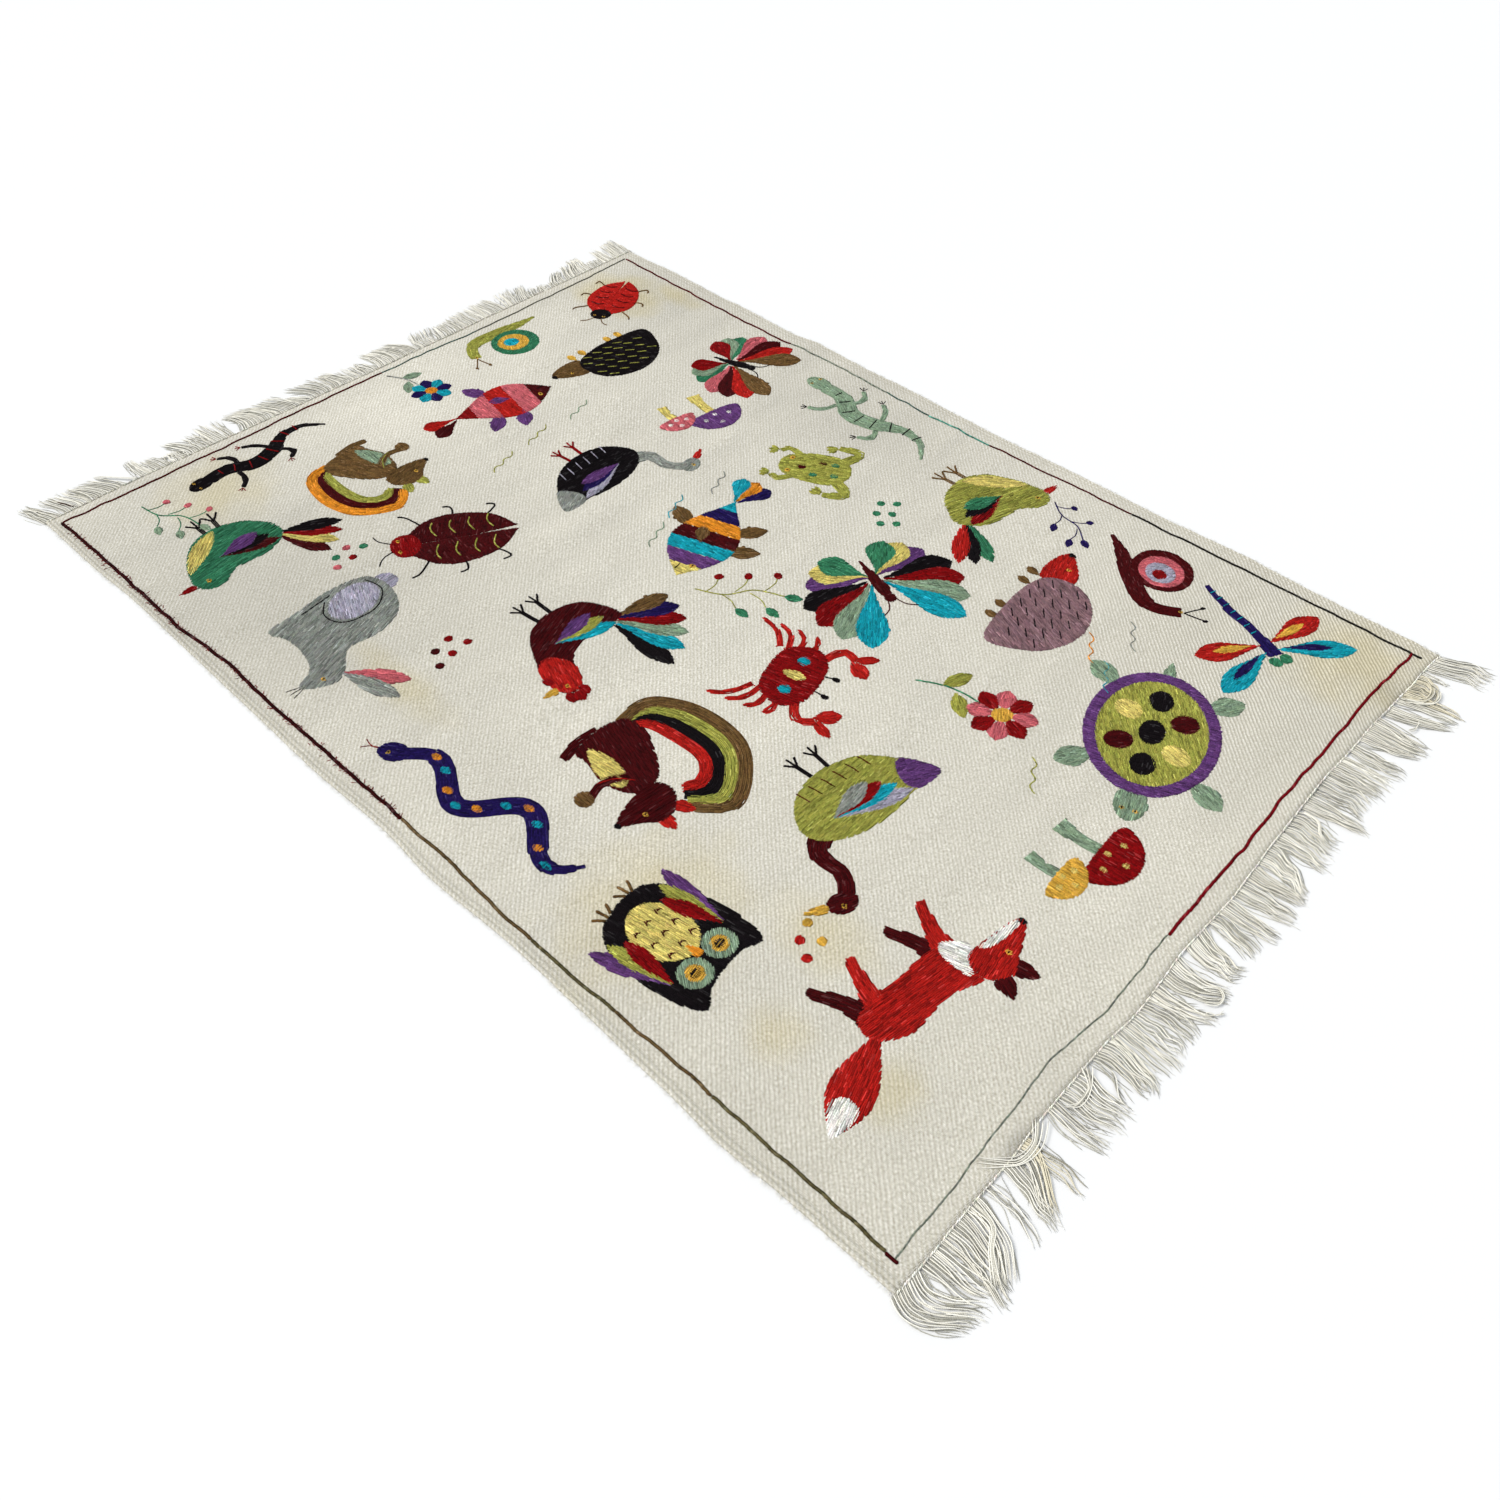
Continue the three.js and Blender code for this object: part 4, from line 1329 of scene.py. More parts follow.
# %% Sew the creatures on
LAYOUT = [
    ("fox", fox, -400, -790, 176, -1.3, dict(coat="scarlet", tip="white", leg="maroon")),
    ("mushrooms", mushrooms, -60, -840, 184, 1.15,
     dict(caps=["red", "mustard"], stalk="sage", dots="straw")),
    ("tortoise", tortoise, 240, -765, 200, 1.08,
     dict(shell="olive", edge="purple", skin="sage", plates=["black", "straw", "maroon"] * 2)),
    ("dragonfly", dragonfly, 572, -770, 156, 0.98,
     dict(body="navy", wings=["turquoise", "scarlet"], veins=["navy", "mustard"], eyes="green")),
    ("owl", owl, -580, -500, 190, 1.25,
     dict(body="black", chest="straw", wing=["purple", "olive", "red"], face="sage",
          claws="brown", line="maroon")),
    ("goose", goose, -210, -500, 172, 1.15,
     dict(body="olive", neck="maroon", wing=["lilac", "turquoise", "red", "grey"], rump="purple",
          beak="mustard", legs="black", line="maroon")),
    ("bloom", bloom, 90, -500, 196, 1.15,
     dict(stem="green", petals=["pink", "red"], heart="mustard", leaf="olive")),
    ("hedgehog", hedgehog, 370, -460, 186, -1.15,
     dict(coat="mauve", face="scarlet", feet="brown", line="black")),
    ("snail", snail, 590, -560, 226, 0.95,
     dict(body="maroon", rings=["maroon", "pink", "lilac", "red"], line="black")),
    ("snake", snake, -610, -110, 98, 1.05,
     dict(skin="navy", diamonds=["turquoise", "orange"], line="red")),
    ("squirrel", squirrel, -392, -214, 182, 1.3,
     dict(coat="maroon", belly="straw", tail=["scarlet", "black", "olive", "brown"],
          ear="scarlet")),
    ("crab", crab, -70, -256, 196, 1.25,
     dict(shell="red", claws="scarlet", patches=["turquoise", "straw", "turquoise"])),
    ("butterfly", butterfly, 220, -190, 160, 1.15,
     dict(fore=["black", "red", "sage", "turquoise"], hind=["purple", "straw", "green"],
          body="maroon")),
    ("wren", wren, 550, -190, 178, -1.45,
     dict(body="olive", breast="straw", wing=["red", "black", "green"],
          tail=["green", "black", "scarlet"], beak="scarlet", legs="brown")),
    ("rooster", rooster, -260, 90, 180, 1.25,
     dict(body="maroon", hackle="scarlet", wing=["turquoise", "olive", "purple"], comb="red",
          legs="black", tail=["black", "turquoise", "sage", "red", "navy", "brown"])),
    ("fish", fish, 100, 110, 198, 1.2,
     dict(bands=["turquoise", "navy", "orange", "maroon", "turquoise", "purple", "straw"],
          tail=["navy", "orange", "turquoise"], fins="brown", line="black")),
    ("frog", frog, 400, 100, 118, 1.15,
     dict(skin="olive", spots=["green", "maroon"])),
    ("lizard", lizard, 612, 160, 84, 1.0, dict(back="sage", bands=["black"], line="black")),
    ("hare", hare, -535, 380, 184, 1.25,
     dict(coat="grey", belly="lilac", ear="pink", line="black")),
    ("beetle", beetle, -240, 440, 152, 1.05,
     dict(head="red", wings="maroon", bars=["olive"] * 4, line="black")),
    ("stork", goose, 90, 410, 186, -1.05,
     dict(body="black", neck="grey", wing=["lilac", "navy", "purple"], rump="grey", beak="scarlet",
          legs="red", line="lilac")),
    ("toadstools", mushrooms, 360, 400, 172, 1.1,
     dict(caps=["purple", "pink"], stalk="straw", dots="white")),
    ("moth", butterfly, 560, 500, 196, 0.94,
     dict(fore=["pink", "maroon", "scarlet", "brown"], hind=["green", "sage", "red"],
          body="black")),
    ("robin", wren, -540, 720, 174, 1.4,
     dict(body="green", breast="straw", wing=["maroon", "black", "purple"],
          tail=["maroon", "straw", "red", "black"], beak="red", legs="black")),
    ("far_squirrel", squirrel, -230, 730, 186, -1.15,
     dict(coat="brown", belly="sage", tail=["olive", "maroon", "orange"], ear="olive")),
    ("perch", fish, 100, 730, 168, -1.1,
     dict(bands=["red", "pink", "scarlet", "pink", "maroon"], tail=["maroon", "scarlet"],
          fins="purple", line="black")),
    ("dark_hedgehog", hedgehog, 395, 700, 180, 1.05,
     dict(coat="black", face="brown", feet="mustard", line="olive")),
    ("salamander", lizard, -360, 930, 186, 0.85, dict(back="black", bands=["red"], line="red")),
    ("far_bloom", bloom, 20, 920, 200, 0.85,
     dict(stem="grey", petals=["turquoise", "navy"], heart="orange", leaf="sage")),
    ("far_snail", snail, 270, 910, 176, 0.85,
     dict(body="olive", rings=["green", "mustard", "turquoise"], line="brown")),
    ("far_beetle", beetle, 560, 882, 205, 0.8,
     dict(head="black", wings="scarlet", bars=["maroon"] * 4, line="brown")),
    ("sprig_berries", sprig, -30, 20, 226, 0.9,
     dict(stem="olive", leaves="green", berries=["red", "maroon"], bends=5)),
    ("sprig_dark", sprig, 640, -300, 160, 0.66,
     dict(stem="navy", leaves="navy", berries=["navy"], bends=4)),
    ("sprig_far", sprig, -600, 940, 210, 0.75,
     dict(stem="green", leaves="sage", berries=["pink"], bends=5)),
    ("ripples_near", water, 330, -620, 200, 1.0,
     dict(colours=["turquoise", "grey", "olive", "orange"],
          lines=[(0, 0), (-120, 20), (267, -55), (-60, -40)])),
    ("ripples_mid", water, 150, 230, 190, 1.0,
     dict(colours=["turquoise", "sage", "grey"], lines=[(0, 0), (90, 20), (-110, 24)])),
    ("ripples_far", water, 120, 600, 186, 1.0,
     dict(colours=["olive", "olive", "sage"], lines=[(0, 0), (110, 12), (-120, 4)])),
    ("seeds_red", seeds, -420, 230, 180, 1.0,
     dict(colours=["red", "maroon"], places=[(0, 0), (36, 10), (18, 34), (52, 44), (-18, 30)])),
    ("seeds_green", seeds, 400, -60, 180, 1.0,
     dict(colours=["green"],
          places=[(0, 0), (30, 14), (12, 38), (50, 40), (-20, 24), (28, 62)])),
    ("seeds_pink", seeds, -400, 560, 180, 1.0,
     dict(colours=["pink", "green", "red"],
          places=[(0, 0), (30, 10), (8, 32), (44, 36), (-24, 20)])),
    ("seeds_gold", seeds, -430, -610, 180, 1.0,
     dict(colours=["mustard", "scarlet"], places=[(0, 0), (30, 12), (10, 36), (46, 40)])),
]
FIRST_SEED = 11
motifs = []
for number, (name, draw, x, y, turn, size, threads) in enumerate(LAYOUT):
    work = Needlework(FIRST_SEED + number)
    draw(work, **threads)
    motifs.append(work.sew("motif_" + name, x, y, turn, abs(size), flip=size < 0))

# %% [markdown]
# ## The stitched border line
# A single line of stem stitch runs round the rug, 20 to 40 mm in from its edges, and wanders a
# little. Its thread was changed several times on the way, so each side is a list of stretches of
# one colour and thickness. The wander is given at a few places along each side.

# %% Sew the border line
THREADS.update(
    wine=(50, 4, 6),
    oxblood=(84, 20, 18),
    walnut=(100, 80, 52),
    moss=(94, 86, 58),
    crimson=(124, 6, 20),
    foam=(74, 142, 126),
    slate=(126, 134, 120),
    pine=(64, 92, 84),
    soot=(92, 92, 80),
    ink=(34, 34, 30),
)
# In a stretch: its thread, where it starts and ends, and how thick the line is.
BORDER_SIDES = [
    dict(
        at=[-1003, -900, -751, -601, -451, -301, -151, 0, 150, 300, 450, 600, 750, 1000],
        out=[-717, -715, -716, -716, -721, -724, -717, -717, -719, -720, -717, -728, -726, -728],
        upright=True,
        stretches=[
            ("maroon", -1010, -990, 5.4), ("moss", -990, -700, 5.4), ("walnut", -700, -520, 5.4),
            ("moss", -520, -350, 5.6), ("walnut", -350, -40, 5.8), ("wine", -40, 1000, 6.6),
        ],
    ),
    dict(
        at=[-1003, -901, -751, -601, -451, -301, -151, 0, 74, 150, 300, 375, 525, 675, 825, 1000],
        out=[717, 719, 717, 717, 714, 711, 706, 705, 702, 706, 714, 712, 704, 707, 710, 713],
        upright=True,
        stretches=[
            ("ink", -1008, -428, 5.2), ("maroon", -428, -95, 4.4), ("foam", -95, 60, 4.4),
            ("pine", 60, 179, 4.0), ("slate", 179, 454, 4.2), ("oxblood", 454, 1000, 5.0),
        ],
    ),
    dict(
        at=[-728, -560, -335, -200, -34, 116, 266, 416, 566, 712],
        out=[1000, 998, 1000, 1004, 1003, 1000, 994, 997, 998, 1003],
        upright=False,
        stretches=[("oxblood", -728, -2, 4.8), ("pine", -2, 250, 3.8), ("soot", 250, 712, 3.8)],
    ),
    dict(
        at=[-717, -600, -485, -372, -260, -109, 116, 266, 416, 566, 716],
        out=[-1003, -1000, -993, -985, -998, -994, -993, -988, -987, -985, -990],
        upright=False,
        stretches=[("slate", -717, -90, 2.4), ("crimson", -90, 718, 5.4)],
    ),
]
# Loose hairs of the darkest thread, and a scrap of it that has caught in the far fringe.
HAIR_EVERY = 2.6
HAIR_LONG = (4, 9)
SCRAP = [(-690, 1030), (-697, 1046), (-705, 1064)]
SCRAP_LAYER = 12
work = Needlework(seed=5)
for side in BORDER_SIDES:
    for colour, start, end, wide in side["stretches"]:
        where = np.arange(start, end + 20, 20).clip(start, end)
        out = np.interp(where, side["at"], side["out"]) + work.chance.normal(0, 0.8, len(where))
        route = np.column_stack([out, where] if side["upright"] else [where, out])
        work.stem(route, colour, wide, layer=0)
        if colour == "wine":
            for y in np.arange(start, end, HAIR_EVERY):
                x = np.interp(y, side["at"], side["out"]) + work.chance.normal(0, 2.6)
                angle, long = work.chance.uniform(0, math.pi), work.chance.uniform(*HAIR_LONG)
                tip = (x + long * math.cos(angle), y + long * math.sin(angle))
                work.stitch((x, y), tip, 1.2, 0.8, 1, "red")
work.stem(SCRAP, "wine", 3.4, SCRAP_LAYER)
border_line = work.sew("border_line", 0, 0, turn=0)

# %% [markdown]
# ## The whipped ends
# At each end a pale thread is whipped over the last rows of weft to stop them from working loose.
# It shows as a thin line of short slanting stitches, right on the cloth's edge. At the far end it
# has greyed and is hardly seen.

# %% Whip the ends
WHIP_STEP = 3.4
WHIP_IN = 0.4
WHIP_HALF = 2.4
WHIP_WIDE = 2.0
WHIP_HIGH = 1.4
WHIP_LIGHT = 0.25
THREADS.update(ivory=(252, 248, 236), ecru=(226, 222, 206))
work = Needlework(seed=6)
for edge, inward, colour in ((near, 1, "ivory"), (far, -1, "ecru")):
    places = np.arange(left[0] / MM + 4, right[0] / MM - 4, WHIP_STEP)
    along_edge = np.interp(places * MM, flat_x[row_count // 2], edge) / MM + WHIP_IN * inward
    for x, y in zip(places, along_edge + work.chance.normal(0, 0.3, len(places))):
        slant = inward * work.chance.uniform(0.5, 1.2)
        start, end = (x - WHIP_HALF, y - slant), (x + WHIP_HALF, y + slant)
        work.stitch(start, end, WHIP_WIDE, WHIP_HIGH, 1, colour, WHIP_LIGHT)
whipping = work.sew("whipped_ends", 0, 0, turn=0)

# %% [markdown]
# ## The fringe
# The fringe is not added: it is the warp itself, a cord every 2.4 mm. Its cords cling together in
# locks, which lie on the floor in loose bends, some parted by gaps and some run together at the
# tip. A table gives each lock as it lies: where its cords leave the cloth, where their tips end
# up, its length and how far it bows. Within a lock about every other cord lies on top of the
# rest, and the cords below are painted in shade. Fine loose plies lie under the cords and fill
# part of the gaps; they too are painted in shade.

# %% The locks
# Root from and to, tip from and to, length, bow, and share of the cords that are still there.
NEAR_LOCKS = [
    (-752, -702, -730, -688, 86, -14, 1), (-702, -664, -688, -655, 78, -5, 1),
    (-664, -626, -674, -652, 98, 5, 1), (-626, -584, -662, -636, 88, 8, 1),
    (-573, -561, -589, -572, 84, 6, 0.6), (-537, -514, -557, -536, 88, -2, 1),
    (-514, -480, -552, -530, 78, 10, 1), (-498, -480, -500, -480, 92, 2, 0.5),
    (-433, -411, -436, -414, 86, -4, 1), (-411, -350, -400, -358, 80, 0, 0.8),
    (-335, -331, -349, -346, 76, 5, 1), (-327, -316, -326, -316, 80, 2, 1),
    (-316, -286, -324, -308, 84, 8, 1), (-286, -246, -300, -248, 84, -2, 0.9),
    (-246, -226, -242, -230, 76, 2, 0.9), (-226, -196, -220, -193, 80, 6, 0.9),
    (-196, -164, -174, -158, 84, -6, 0.9), (-160, -104, -130, -106, 80, -10, 1),
    (-86, -34, -84, -60, 78, -14, 0.9), (-31, -2, -42, -20, 74, 4, 0.8),
    (-2, 34, 2, 28, 84, -4, 1), (36, 80, 52, 80, 86, -2, 0.9),
    (83, 117, 96, 106, 84, -4, 1), (117, 168, 104, 122, 80, 6, 1),
    (168, 200, 172, 190, 80, 0, 1), (200, 254, 190, 246, 74, 6, 0.9),
    (262, 301, 280, 297, 92, 0, 1), (304, 358, 306, 352, 78, 2, 0.7),
    (358, 412, 360, 410, 82, 2, 1), (427, 453, 428, 449, 86, -2, 0.9),
    (461, 536, 486, 528, 86, -4, 1), (546, 576, 580, 600, 92, -4, 1),
    (585, 626, 604, 632, 96, 4, 1), (620, 676, 634, 668, 42, 6, 1),
    (681, 692, 684, 692, 46, 0, 0.6), (700, 749, 722, 774, 88, 2, 1),
]
FAR_LOCKS = [
    (-753, -718, -770, -752, 70, -2, 1), (-712, -684, -732, -710, 70, 2, 0.9),
    (-684, -660, -704, -684, 66, 2, 0.9), (-660, -622, -678, -656, 66, 3, 0.9),
    (-622, -596, -654, -634, 64, 3, 0.8), (-594, -584, -628, -614, 70, -2, 0.6),
    (-553, -524, -551, -536, 68, -3, 1), (-524, -490, -534, -504, 50, 0, 1),
    (-490, -450, -492, -456, 36, 0, 1),
    (-450, -424, -473, -453, 70, 4, 1), (-424, -394, -436, -408, 60, 2, 0.8),
    (-392, -362, -402, -372, 78, -2, 1), (-362, -346, -362, -348, 72, 2, 0.9),
    (-330, -246, -336, -290, 72, 12, 1), (-246, -192, -282, -226, 68, 4, 1),
    (-192, -156, -216, -196, 42, 6, 0.8), (-156, -116, -190, -132, 68, 8, 1),
    (-116, -60, -116, -92, 66, 8, 1), (-60, -22, -70, -20, 54, 2, 0.9),
    (-22, 4, -34, -6, 46, 2, 0.9), (4, 112, 2, 76, 70, 8, 1),
    (122, 166, 126, 184, 66, -4, 1), (166, 230, 184, 232, 60, 4, 0.7),
    (230, 300, 236, 296, 66, 2, 0.8), (300, 362, 306, 356, 70, 0, 0.9),
    (362, 400, 380, 427, 66, 0, 0.9), (400, 432, 434, 456, 64, 0, 0.9),
    (432, 470, 444, 490, 34, 0, 0.6), (470, 508, 476, 516, 24, 0, 0.8),
    (508, 546, 540, 561, 52, -4, 0.9), (546, 566, 570, 594, 62, 0, 0.9),
    (566, 626, 603, 634, 72, 0, 1), (626, 668, 634, 676, 34, 0, 0.9),
    (668, 698, 678, 694, 66, -4, 1), (698, 751, 714, 757, 76, 0, 1),
]
# Cords that strayed: the points that they pass, with half the width of the bundle at each.
NEAR_STRAYS = [
    (5, [(-448, -1024, 10), (-480, -1041, 6), (-514, -1040, 5), (-535, -1020, 6), (-552, -998, 7)]),
    (3, [(-345, -1024, 8), (-368, -1046, 2), (-398, -1049, 2), (-414, -1036, 2)]),
    (4, [(-600, -1026, 9), (-604, -1062, 4), (-632, -1082, 3), (-662, -1112, 6)]),
    (3, [(256, -1024, 2), (254, -1050, 2), (236, -1062, 2), (222, -1076, 2)]),
    (2, [(-152, -1088, 1), (-140, -1104, 1), (-124, -1102, 1), (-116, -1088, 1)]),
    (2, [(-166, -1098, 1), (-158, -1110, 1), (-146, -1116, 1)]),
    (2, [(538, -1066, 1), (552, -1073, 1), (574, -1070, 1)]),
    (4, [(606, -1024, 6), (620, -1052, 3), (644, -1058, 3), (666, -1050, 4)]),
    (4, [(600, -1030, 6), (622, -1066, 3), (646, -1070, 3), (662, -1062, 3)]),
]
FAR_STRAYS = [(2, [(-560, 1024, 2), (-588, 1058, 1), (-618, 1092, 2)])]

# %% Lay the fringe
CORD_STEP = 2.4
CORD_THICK = (2.0, 1.8)
CORD_LEVELS = (1.1, 3.0)
FRINGE_STEPS = 16
FRINGE_SIDES = 4
ROOT_IN = 7
PLY_STEP = 3.2
PLY_STEPS = 8
PLY_HALF = (0.4, 0.75)
PLY_LIGHT = (0.9, 1.3)
# The cream of the cords on top, and the same cream with painted shade for the cords, plies and
# strays below them.
CREAM = np.array([linear(237, 234, 223)[:3], linear(222, 218, 205)[:3]])
SHADED = np.array([linear(158, 156, 145)[:3], linear(184, 182, 170)[:3]])
# Spans of the near fringe whose roots are painted in brownish shade, under stray bundles and at a
# fold, and the tint of that painted shade.
ROOT_SHADE_SPANS = [(-500, -470), (604, 680)]
ROOT_SHADE_TINT = np.array([0.88, 0.84, 0.73])
# How wavy the cords of the far fringe are, as a share of the near ones.
TIDY_END = 0.45


class Fringe:
    """Cords, in millimetres, that become one mesh."""

    def __init__(self, edge, out, seed, wavy):
        self.edge, self.out, self.wavy = edge / MM, out, wavy
        self.chance = np.random.default_rng(seed)
        self.paths, self.thick, self.shades = [], [], []
        self.plies = []

    def add(self, path, upper):
        """Notes one cord, thinner towards its tip, in cream, with painted shade if it lies below.
        """
        t = np.linspace(0, 1, FRINGE_STEPS)
        self.paths.append(path)
        self.thick.append(np.interp(t, [0, 0.8, 1], [1, 0.9, 0.25]) * CORD_THICK[upper] / 2)
        # Cords below the top layer take the cream with painted shade.
        mix = (CREAM if upper else SHADED)[self.chance.integers(0, 2)]
        # Painted brownish shade on roots under stray bundles and at a fold.
        if self.out < 0 and any(start < path[0, 0] < end for start, end in ROOT_SHADE_SPANS):
            mix = mix * ROOT_SHADE_TINT
        self.shades.append(mix * (1 + 0.07 * self.chance.standard_normal()))

    def lock(self, start, end, tip_start, tip_end, long, bow, full):
        """Cords that share a bow and its waves, each with small waves of its own."""
        chance = self.chance
        t = np.linspace(0, 1, FRINGE_STEPS)
        beats, swing = chance.uniform(0.8, 1.5), chance.normal(0, 3.2) * self.wavy
        second = chance.normal(0, 2.0) * self.wavy
        lean = (t**1.6 + t * t * (3 - 2 * t)) / 2
        for number, x in enumerate(np.arange(start + 1, end, CORD_STEP / full)):
            share = (x - start) / (end - start)
            tip = tip_start + share * (tip_end - tip_start) + chance.normal(0, 2.4)
            own = chance.normal(0, 0.8, 3) * self.wavy
            path_x = x + (tip - x) * lean + bow * np.sin(np.pi * t)
            path_x += (swing + own[0]) * np.sin(2 * np.pi * beats * t) * (0.25 + 0.75 * t)
            path_x += second * np.sin(5 * np.pi * t + share) * t
            path_x += own[1] * np.sin(9 * t) * t + own[2] * np.sin(14 * t + own[0]) * t**0.5
            root = np.interp(x * MM, flat_x[row_count // 2], self.edge)
            reach = long * (1 + 0.06 * chance.standard_normal())
            path_y = root + self.out * (reach * t - ROOT_IN * (1 - t))
            upper = int(number % 2 == 0) if chance.random() < 0.8 else 1
            level = CORD_LEVELS[upper] + abs(chance.normal(0, 0.5))
            path_z = np.interp(t, [0, 0.08, 0.2, 0.75, 1], [1.0, 2.2, level, level, 0.7])
            self.add(np.column_stack([path_x, path_y, path_z]), upper)
        self.add_plies(start, end, tip_start, tip_end, long, bow)

    def add_plies(self, start, end, tip_start, tip_end, long, bow):
        """Single plies that have come loose, thin, uneven and close to the floor."""
        chance = self.chance
        t = np.linspace(0, 1, PLY_STEPS)
        for x in np.arange(start - 4, end + 4, PLY_STEP):
            share = (x - start) / (end - start)
            tip = tip_start + share * (tip_end - tip_start) + chance.normal(0, 5.0) * self.wavy
            bend = bow + chance.normal(0, 4) * self.wavy
            path_x = x + (tip - x) * t**1.4 + bend * np.sin(np.pi * t)
            path_x += chance.normal(0, 1.6) * np.sin(chance.uniform(5, 12) * t)
            root = np.interp(x * MM, flat_x[row_count // 2], self.edge)
            reach = long * chance.uniform(0.6, 1.06)
            path_y = root + self.out * (reach * t - 2 * (1 - t))
            path_z = np.interp(t, [0, 0.2, 1], [1.4, chance.uniform(0.7, 1.7), 0.5])
            self.plies.append(np.column_stack([path_x, path_y, path_z]))

    def stray(self, count, through):
        """Cords that lie over the others in a narrow bundle, through the points given."""
        through = np.array(through, float)
        line = soft_curve(through, closed=False)
        s = np.concatenate([[0], np.cumsum(np.linalg.norm(np.diff(line[:, :2], axis=0), axis=1))])
        even = np.linspace(0, s[-1], FRINGE_STEPS)
        line = np.column_stack([np.interp(even, s, line[:, i]) for i in range(3)])
        heading = np.gradient(line[:, :2], axis=0)
        heading /= np.linalg.norm(heading, axis=1, keepdims=True)
        aside = np.column_stack([-heading[:, 1], heading[:, 0]]) * line[:, 2:]
        for number, share in enumerate(np.linspace(-1, 1, 2 * count - 1)):
            # Every other cord of the bundle lies lower and takes the cream with painted shade.
            upper = int(number % 2 == 0)
            wave = self.chance.normal(0, 1.1) * np.sin(np.linspace(0, 8, FRINGE_STEPS) + 6 * share)
            path = line[:, :2] + aside * (share + self.chance.normal(0, 0.15)) + wave[:, None]
            under = tops_of(path[:, 0] * MM, path[:, 1] * MM) / MM
            rest = np.where(under > 0, under + 0.7, 3.4) + abs(self.chance.normal(0, 0.4))
            rest = rest + 0.6 * upper
            smooth = np.convolve(np.pad(rest, 1, mode="edge"), [0.25, 0.5, 0.25], "valid")
            self.add(np.column_stack([path, np.maximum(smooth, rest)]), upper)

    def make(self, name):
        half = np.array(self.thick) * MM
        shades = np.array(self.shades)
        made = spindles(name, np.array(self.paths) * MM, half, half, FRINGE_SIDES, shades)
        made.data.materials.append(yarn.material)
        print(f"{name}: {len(shades)} cords, {triangles_of(made)} triangles")
        return made

    def make_plies(self, name):
        count = len(self.plies)
        narrowing = np.array([1.0] * (PLY_STEPS - 1) + [0.3])
        thin = self.chance.uniform(*PLY_HALF, (count, 1)) * narrowing
        # Plies lie under the cords and take the cream with painted shade.
        shades = SHADED[self.chance.integers(0, 2, count)]
        shades = shades * self.chance.uniform(*PLY_LIGHT, (count, 1))
        made = spindles(name, np.array(self.plies) * MM, thin * MM, thin * MM, 3, shades)
        made.data.materials.append(thread.material)
        print(f"{name}: {count} plies, {triangles_of(made)} triangles")
        return made


def wrap_cords(made):
    """Stores how far along and how far round its cord each corner is, for the twist."""
    each = (FRINGE_STEPS - 2) * FRINGE_SIDES + 2
    index = np.empty(len(made.data.loops), int)
    made.data.loops.foreach_get("vertex_index", index)
    own = index % each
    ring = np.clip((own - 1) // FRINGE_SIDES, 0, FRINGE_STEPS - 3)
    round_it = ((own - 1) % FRINGE_SIDES) / FRINGE_SIDES
    sizes = np.empty(len(made.data.polygons), int)
    made.data.polygons.foreach_get("loop_total", sizes)
    face = np.repeat(np.arange(len(sizes)), sizes)
    highest = np.zeros(len(sizes))
    np.maximum.at(highest, face, round_it)
    round_it = np.where((highest[face] > 0.7) & (round_it < 0.3), round_it + 1, round_it)
    stored = made.data.uv_layers.new(name="cord")
    stored.data.foreach_set("uv", np.column_stack([ring, round_it]).astype(np.float32).ravel())


FRINGES = [
    ("fringe_near", near, -1, 3, 1.0, NEAR_LOCKS, NEAR_STRAYS),
    ("fringe_far", far, 1, 8, TIDY_END, FAR_LOCKS, FAR_STRAYS),
]
fringes, plies, tips = [], [], []
for name, edge, out, seed, wavy, locks, strays in FRINGES:
    fringe = Fringe(edge, out, seed, wavy)
    for lock in locks:
        fringe.lock(*lock)
    tips += [path[-4:] for path in fringe.paths]
    for count, through in strays:
        fringe.stray(count, through)
    made = fringe.make(name + "_cords")
    wrap_cords(made)
    fringes.append(made)
    plies.append(fringe.make_plies(name + "_plies"))

# %% [markdown]
# ## Fuzz
# Old wool sheds. Fine fibres stand off the two long sides, and a loose hair hangs from the tip of
# each cord in a lock. Each hair is a thin three-sided spindle with one bend.

# %% Grow the fuzz
HAIR_THICK = 0.5
SIDE_HAIRS = 2600
TIP_HAIRS = 1
SIDE_REACH = (3, 9)
TIP_REACH = (6, 13)
chance = np.random.default_rng(21)
t = np.array([0, 0.3, 0.7, 1])
paths = []
for _ in range(SIDE_HAIRS):
    side = chance.choice([-1, 1])
    row, column = chance.integers(0, row_count), 0 if side < 0 else -1
    x = flat_x[row, column] / MM - side * chance.uniform(0, 6)
    y = flat_y[row, column] / MM + chance.uniform(-5, 5)
    reach, drift = chance.uniform(*SIDE_REACH), chance.normal(0, 5)
    height = lift[row, column] / MM + chance.uniform(1.0, 3.4)
    drop = (0.5 - height) * t**2 * 0.8
    paths.append(np.column_stack([x + side * reach * t, y + drift * t**2, height + drop]))
side_count = len(paths)
for tip in tips:
    for _ in range(TIP_HAIRS):
        start = tip[chance.integers(0, 3)]
        way = (tip[-1] - tip[0]) / np.linalg.norm(tip[-1] - tip[0])
        reach = chance.uniform(*TIP_REACH)
        hair = start + way * reach * t[:, None]
        hair[:, :2] += chance.normal(0, 2.4, 2) * t[:, None] ** 1.5
        hair[:, 2] = start[2] + (0.4 - start[2]) * t
        paths.append(hair)
paths = np.array(paths) * MM
half = np.tile(np.array([0.6, 1, 0.8, 0.2]) * HAIR_THICK * MM / 2, (len(paths), 1))
shades = CREAM[chance.integers(0, 2, len(paths))]
sides, ends = slice(side_count), slice(side_count, None)
fuzz = spindles("side_fuzz", paths[sides], half[sides], half[sides], 3, shades[sides])
frayed = spindles("frayed_tips", paths[ends], half[ends], half[ends], 3, shades[ends])
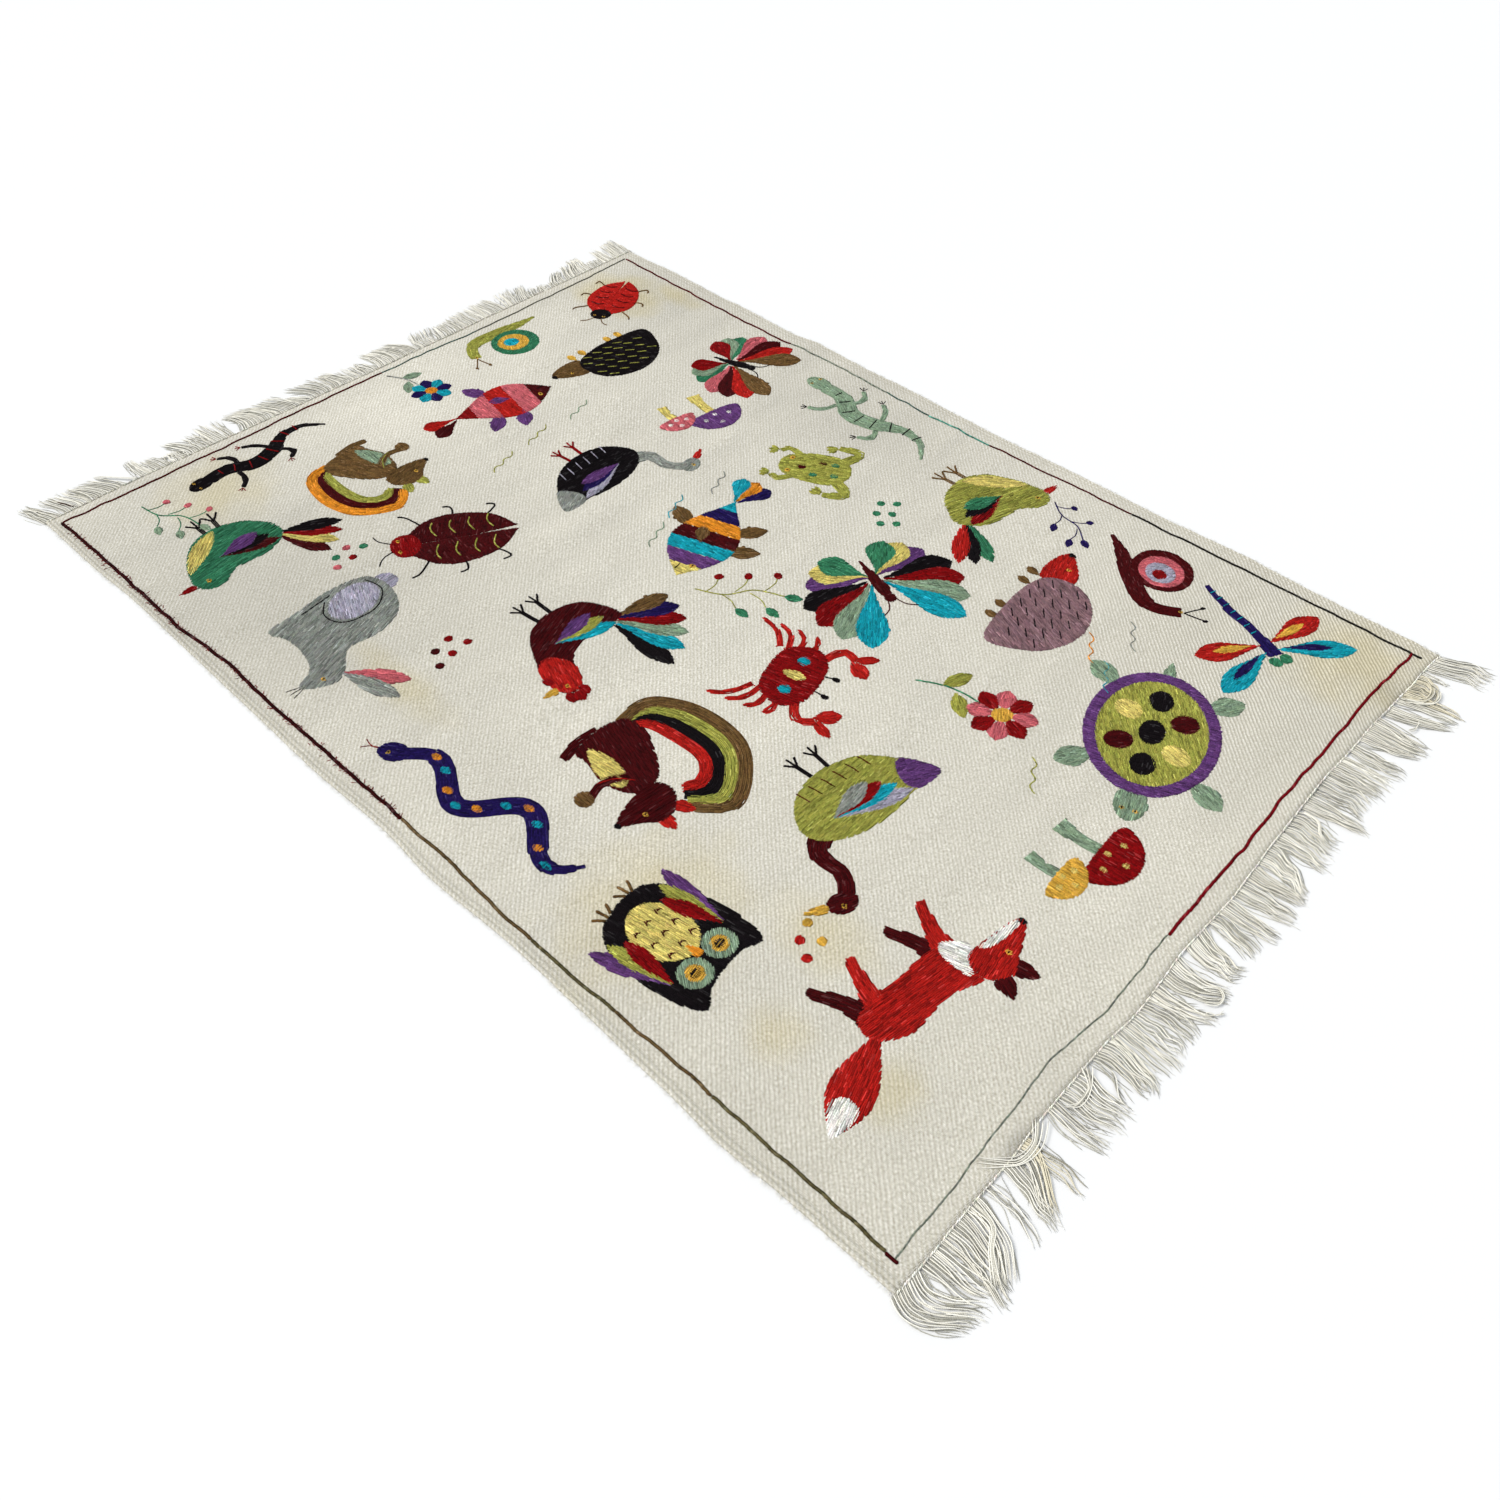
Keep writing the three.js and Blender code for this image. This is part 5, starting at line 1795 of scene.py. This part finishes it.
for piece in (fuzz, frayed):
    piece.data.materials.append(thread.material)
    print(piece.name, "triangles:", triangles_of(piece))

# %% [markdown]
# ## Joining the frame
# Every piece is tied to the root body that it moves with, and the solids that the cloth and the
# two fringes stand for are hidden.

# %% Tie the pieces to the frame
loose = [border_line, whipping, fuzz, frayed, *fringes, *plies, *motifs]
for piece in [cloth, *loose]:
    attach(piece, "root")
for piece, node in zip([cloth, *fringes], ["woven_ground", "fringe_near", "fringe_far"]):
    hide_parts(node)

# %% [markdown]
# ## Floor and light
# The rug lies on a plain pale floor. The light is a bright, even sky and a soft sun from the far
# left, so that the shadows are faint and a little blue.

# %% Floor and light
FLOOR = 12.0
FLOOR_GREY = 0.71
SKY_BLUE = (0.92, 0.96, 1.0, 1)
SKY_LIGHT = 0.92
SUN_LIGHT = 2.6
SUN_SPREAD = math.radians(26)
SUN_WAY = Vector((0.55, -0.6, -0.75))
corners_of_floor = np.array([[-1, -1, 0], [1, -1, 0], [1, 1, 0], [-1, 1, 0]]) * FLOOR
floor = new_object("floor", corners_of_floor, [np.array([[0, 1, 2, 3]])])
floor.location.z = -0.2 * MM
pale = Recipe("pale_floor", roughness=0.7, sheen=0.0)
pale.shader.inputs["Base Color"].default_value = (FLOOR_GREY, FLOOR_GREY, FLOOR_GREY, 1)
floor.data.materials.append(pale.material)
floor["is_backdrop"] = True

world = bpy.data.worlds.new("studio")
bpy.context.scene.world = world
world.use_nodes = True
world.node_tree.nodes["Background"].inputs["Color"].default_value = SKY_BLUE
world.node_tree.nodes["Background"].inputs["Strength"].default_value = SKY_LIGHT

sun = bpy.data.lights.new("soft_sun", "SUN")
sun.energy, sun.angle = SUN_LIGHT, SUN_SPREAD
sun.color = (1.0, 0.965, 0.92)
sun_lamp = bpy.data.objects.new("soft_sun", sun)
sun_lamp.rotation_euler = SUN_WAY.to_track_quat("-Z", "Y").to_euler()
bpy.context.scene.collection.objects.link(sun_lamp)

# %% [markdown]
# ## Camera
# The camera stands off the near left corner, about 1.5 m up, and is turned by a degree. Its
# place is given by the point on the cloth's top that it looks at, and its direction and distance
# from there.

# %% Camera
TARGET = Vector((-0.2464, -0.3228, 0.0042))
AZIMUTH, ELEVATION, ROLL = (math.radians(angle) for angle in (-47.49, 47.763, 1.2646))
DISTANCE = 2.0716
LENS = 31.104
camera = bpy.data.objects.new("camera", bpy.data.cameras.new("camera"))
bpy.context.scene.collection.objects.link(camera)
bpy.context.scene.camera = camera
camera.data.lens = LENS
back = Vector(
    (
        math.sin(AZIMUTH) * math.cos(ELEVATION),
        -math.cos(AZIMUTH) * math.cos(ELEVATION),
        math.sin(ELEVATION),
    )
)
camera.location = TARGET + back * DISTANCE
level = (-back).to_track_quat("-Z", "Y").to_matrix()
camera.rotation_euler = (level @ Matrix.Rotation(ROLL, 3, "Z")).to_euler()
bpy.context.scene.view_settings.view_transform = "Standard"

# %% [markdown]
# ## Sizes
# The finished rug should fill the same space as the solid that it dresses. Both boxes are kept.

# %% Compare the sizes
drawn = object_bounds()
for axis, name in enumerate("xyz"):
    past = [round((drawn[i][axis] - CAD_BOX[i][axis]) / MM, 1) for i in (0, 1)]
    print(name, past, "mm past the solid")
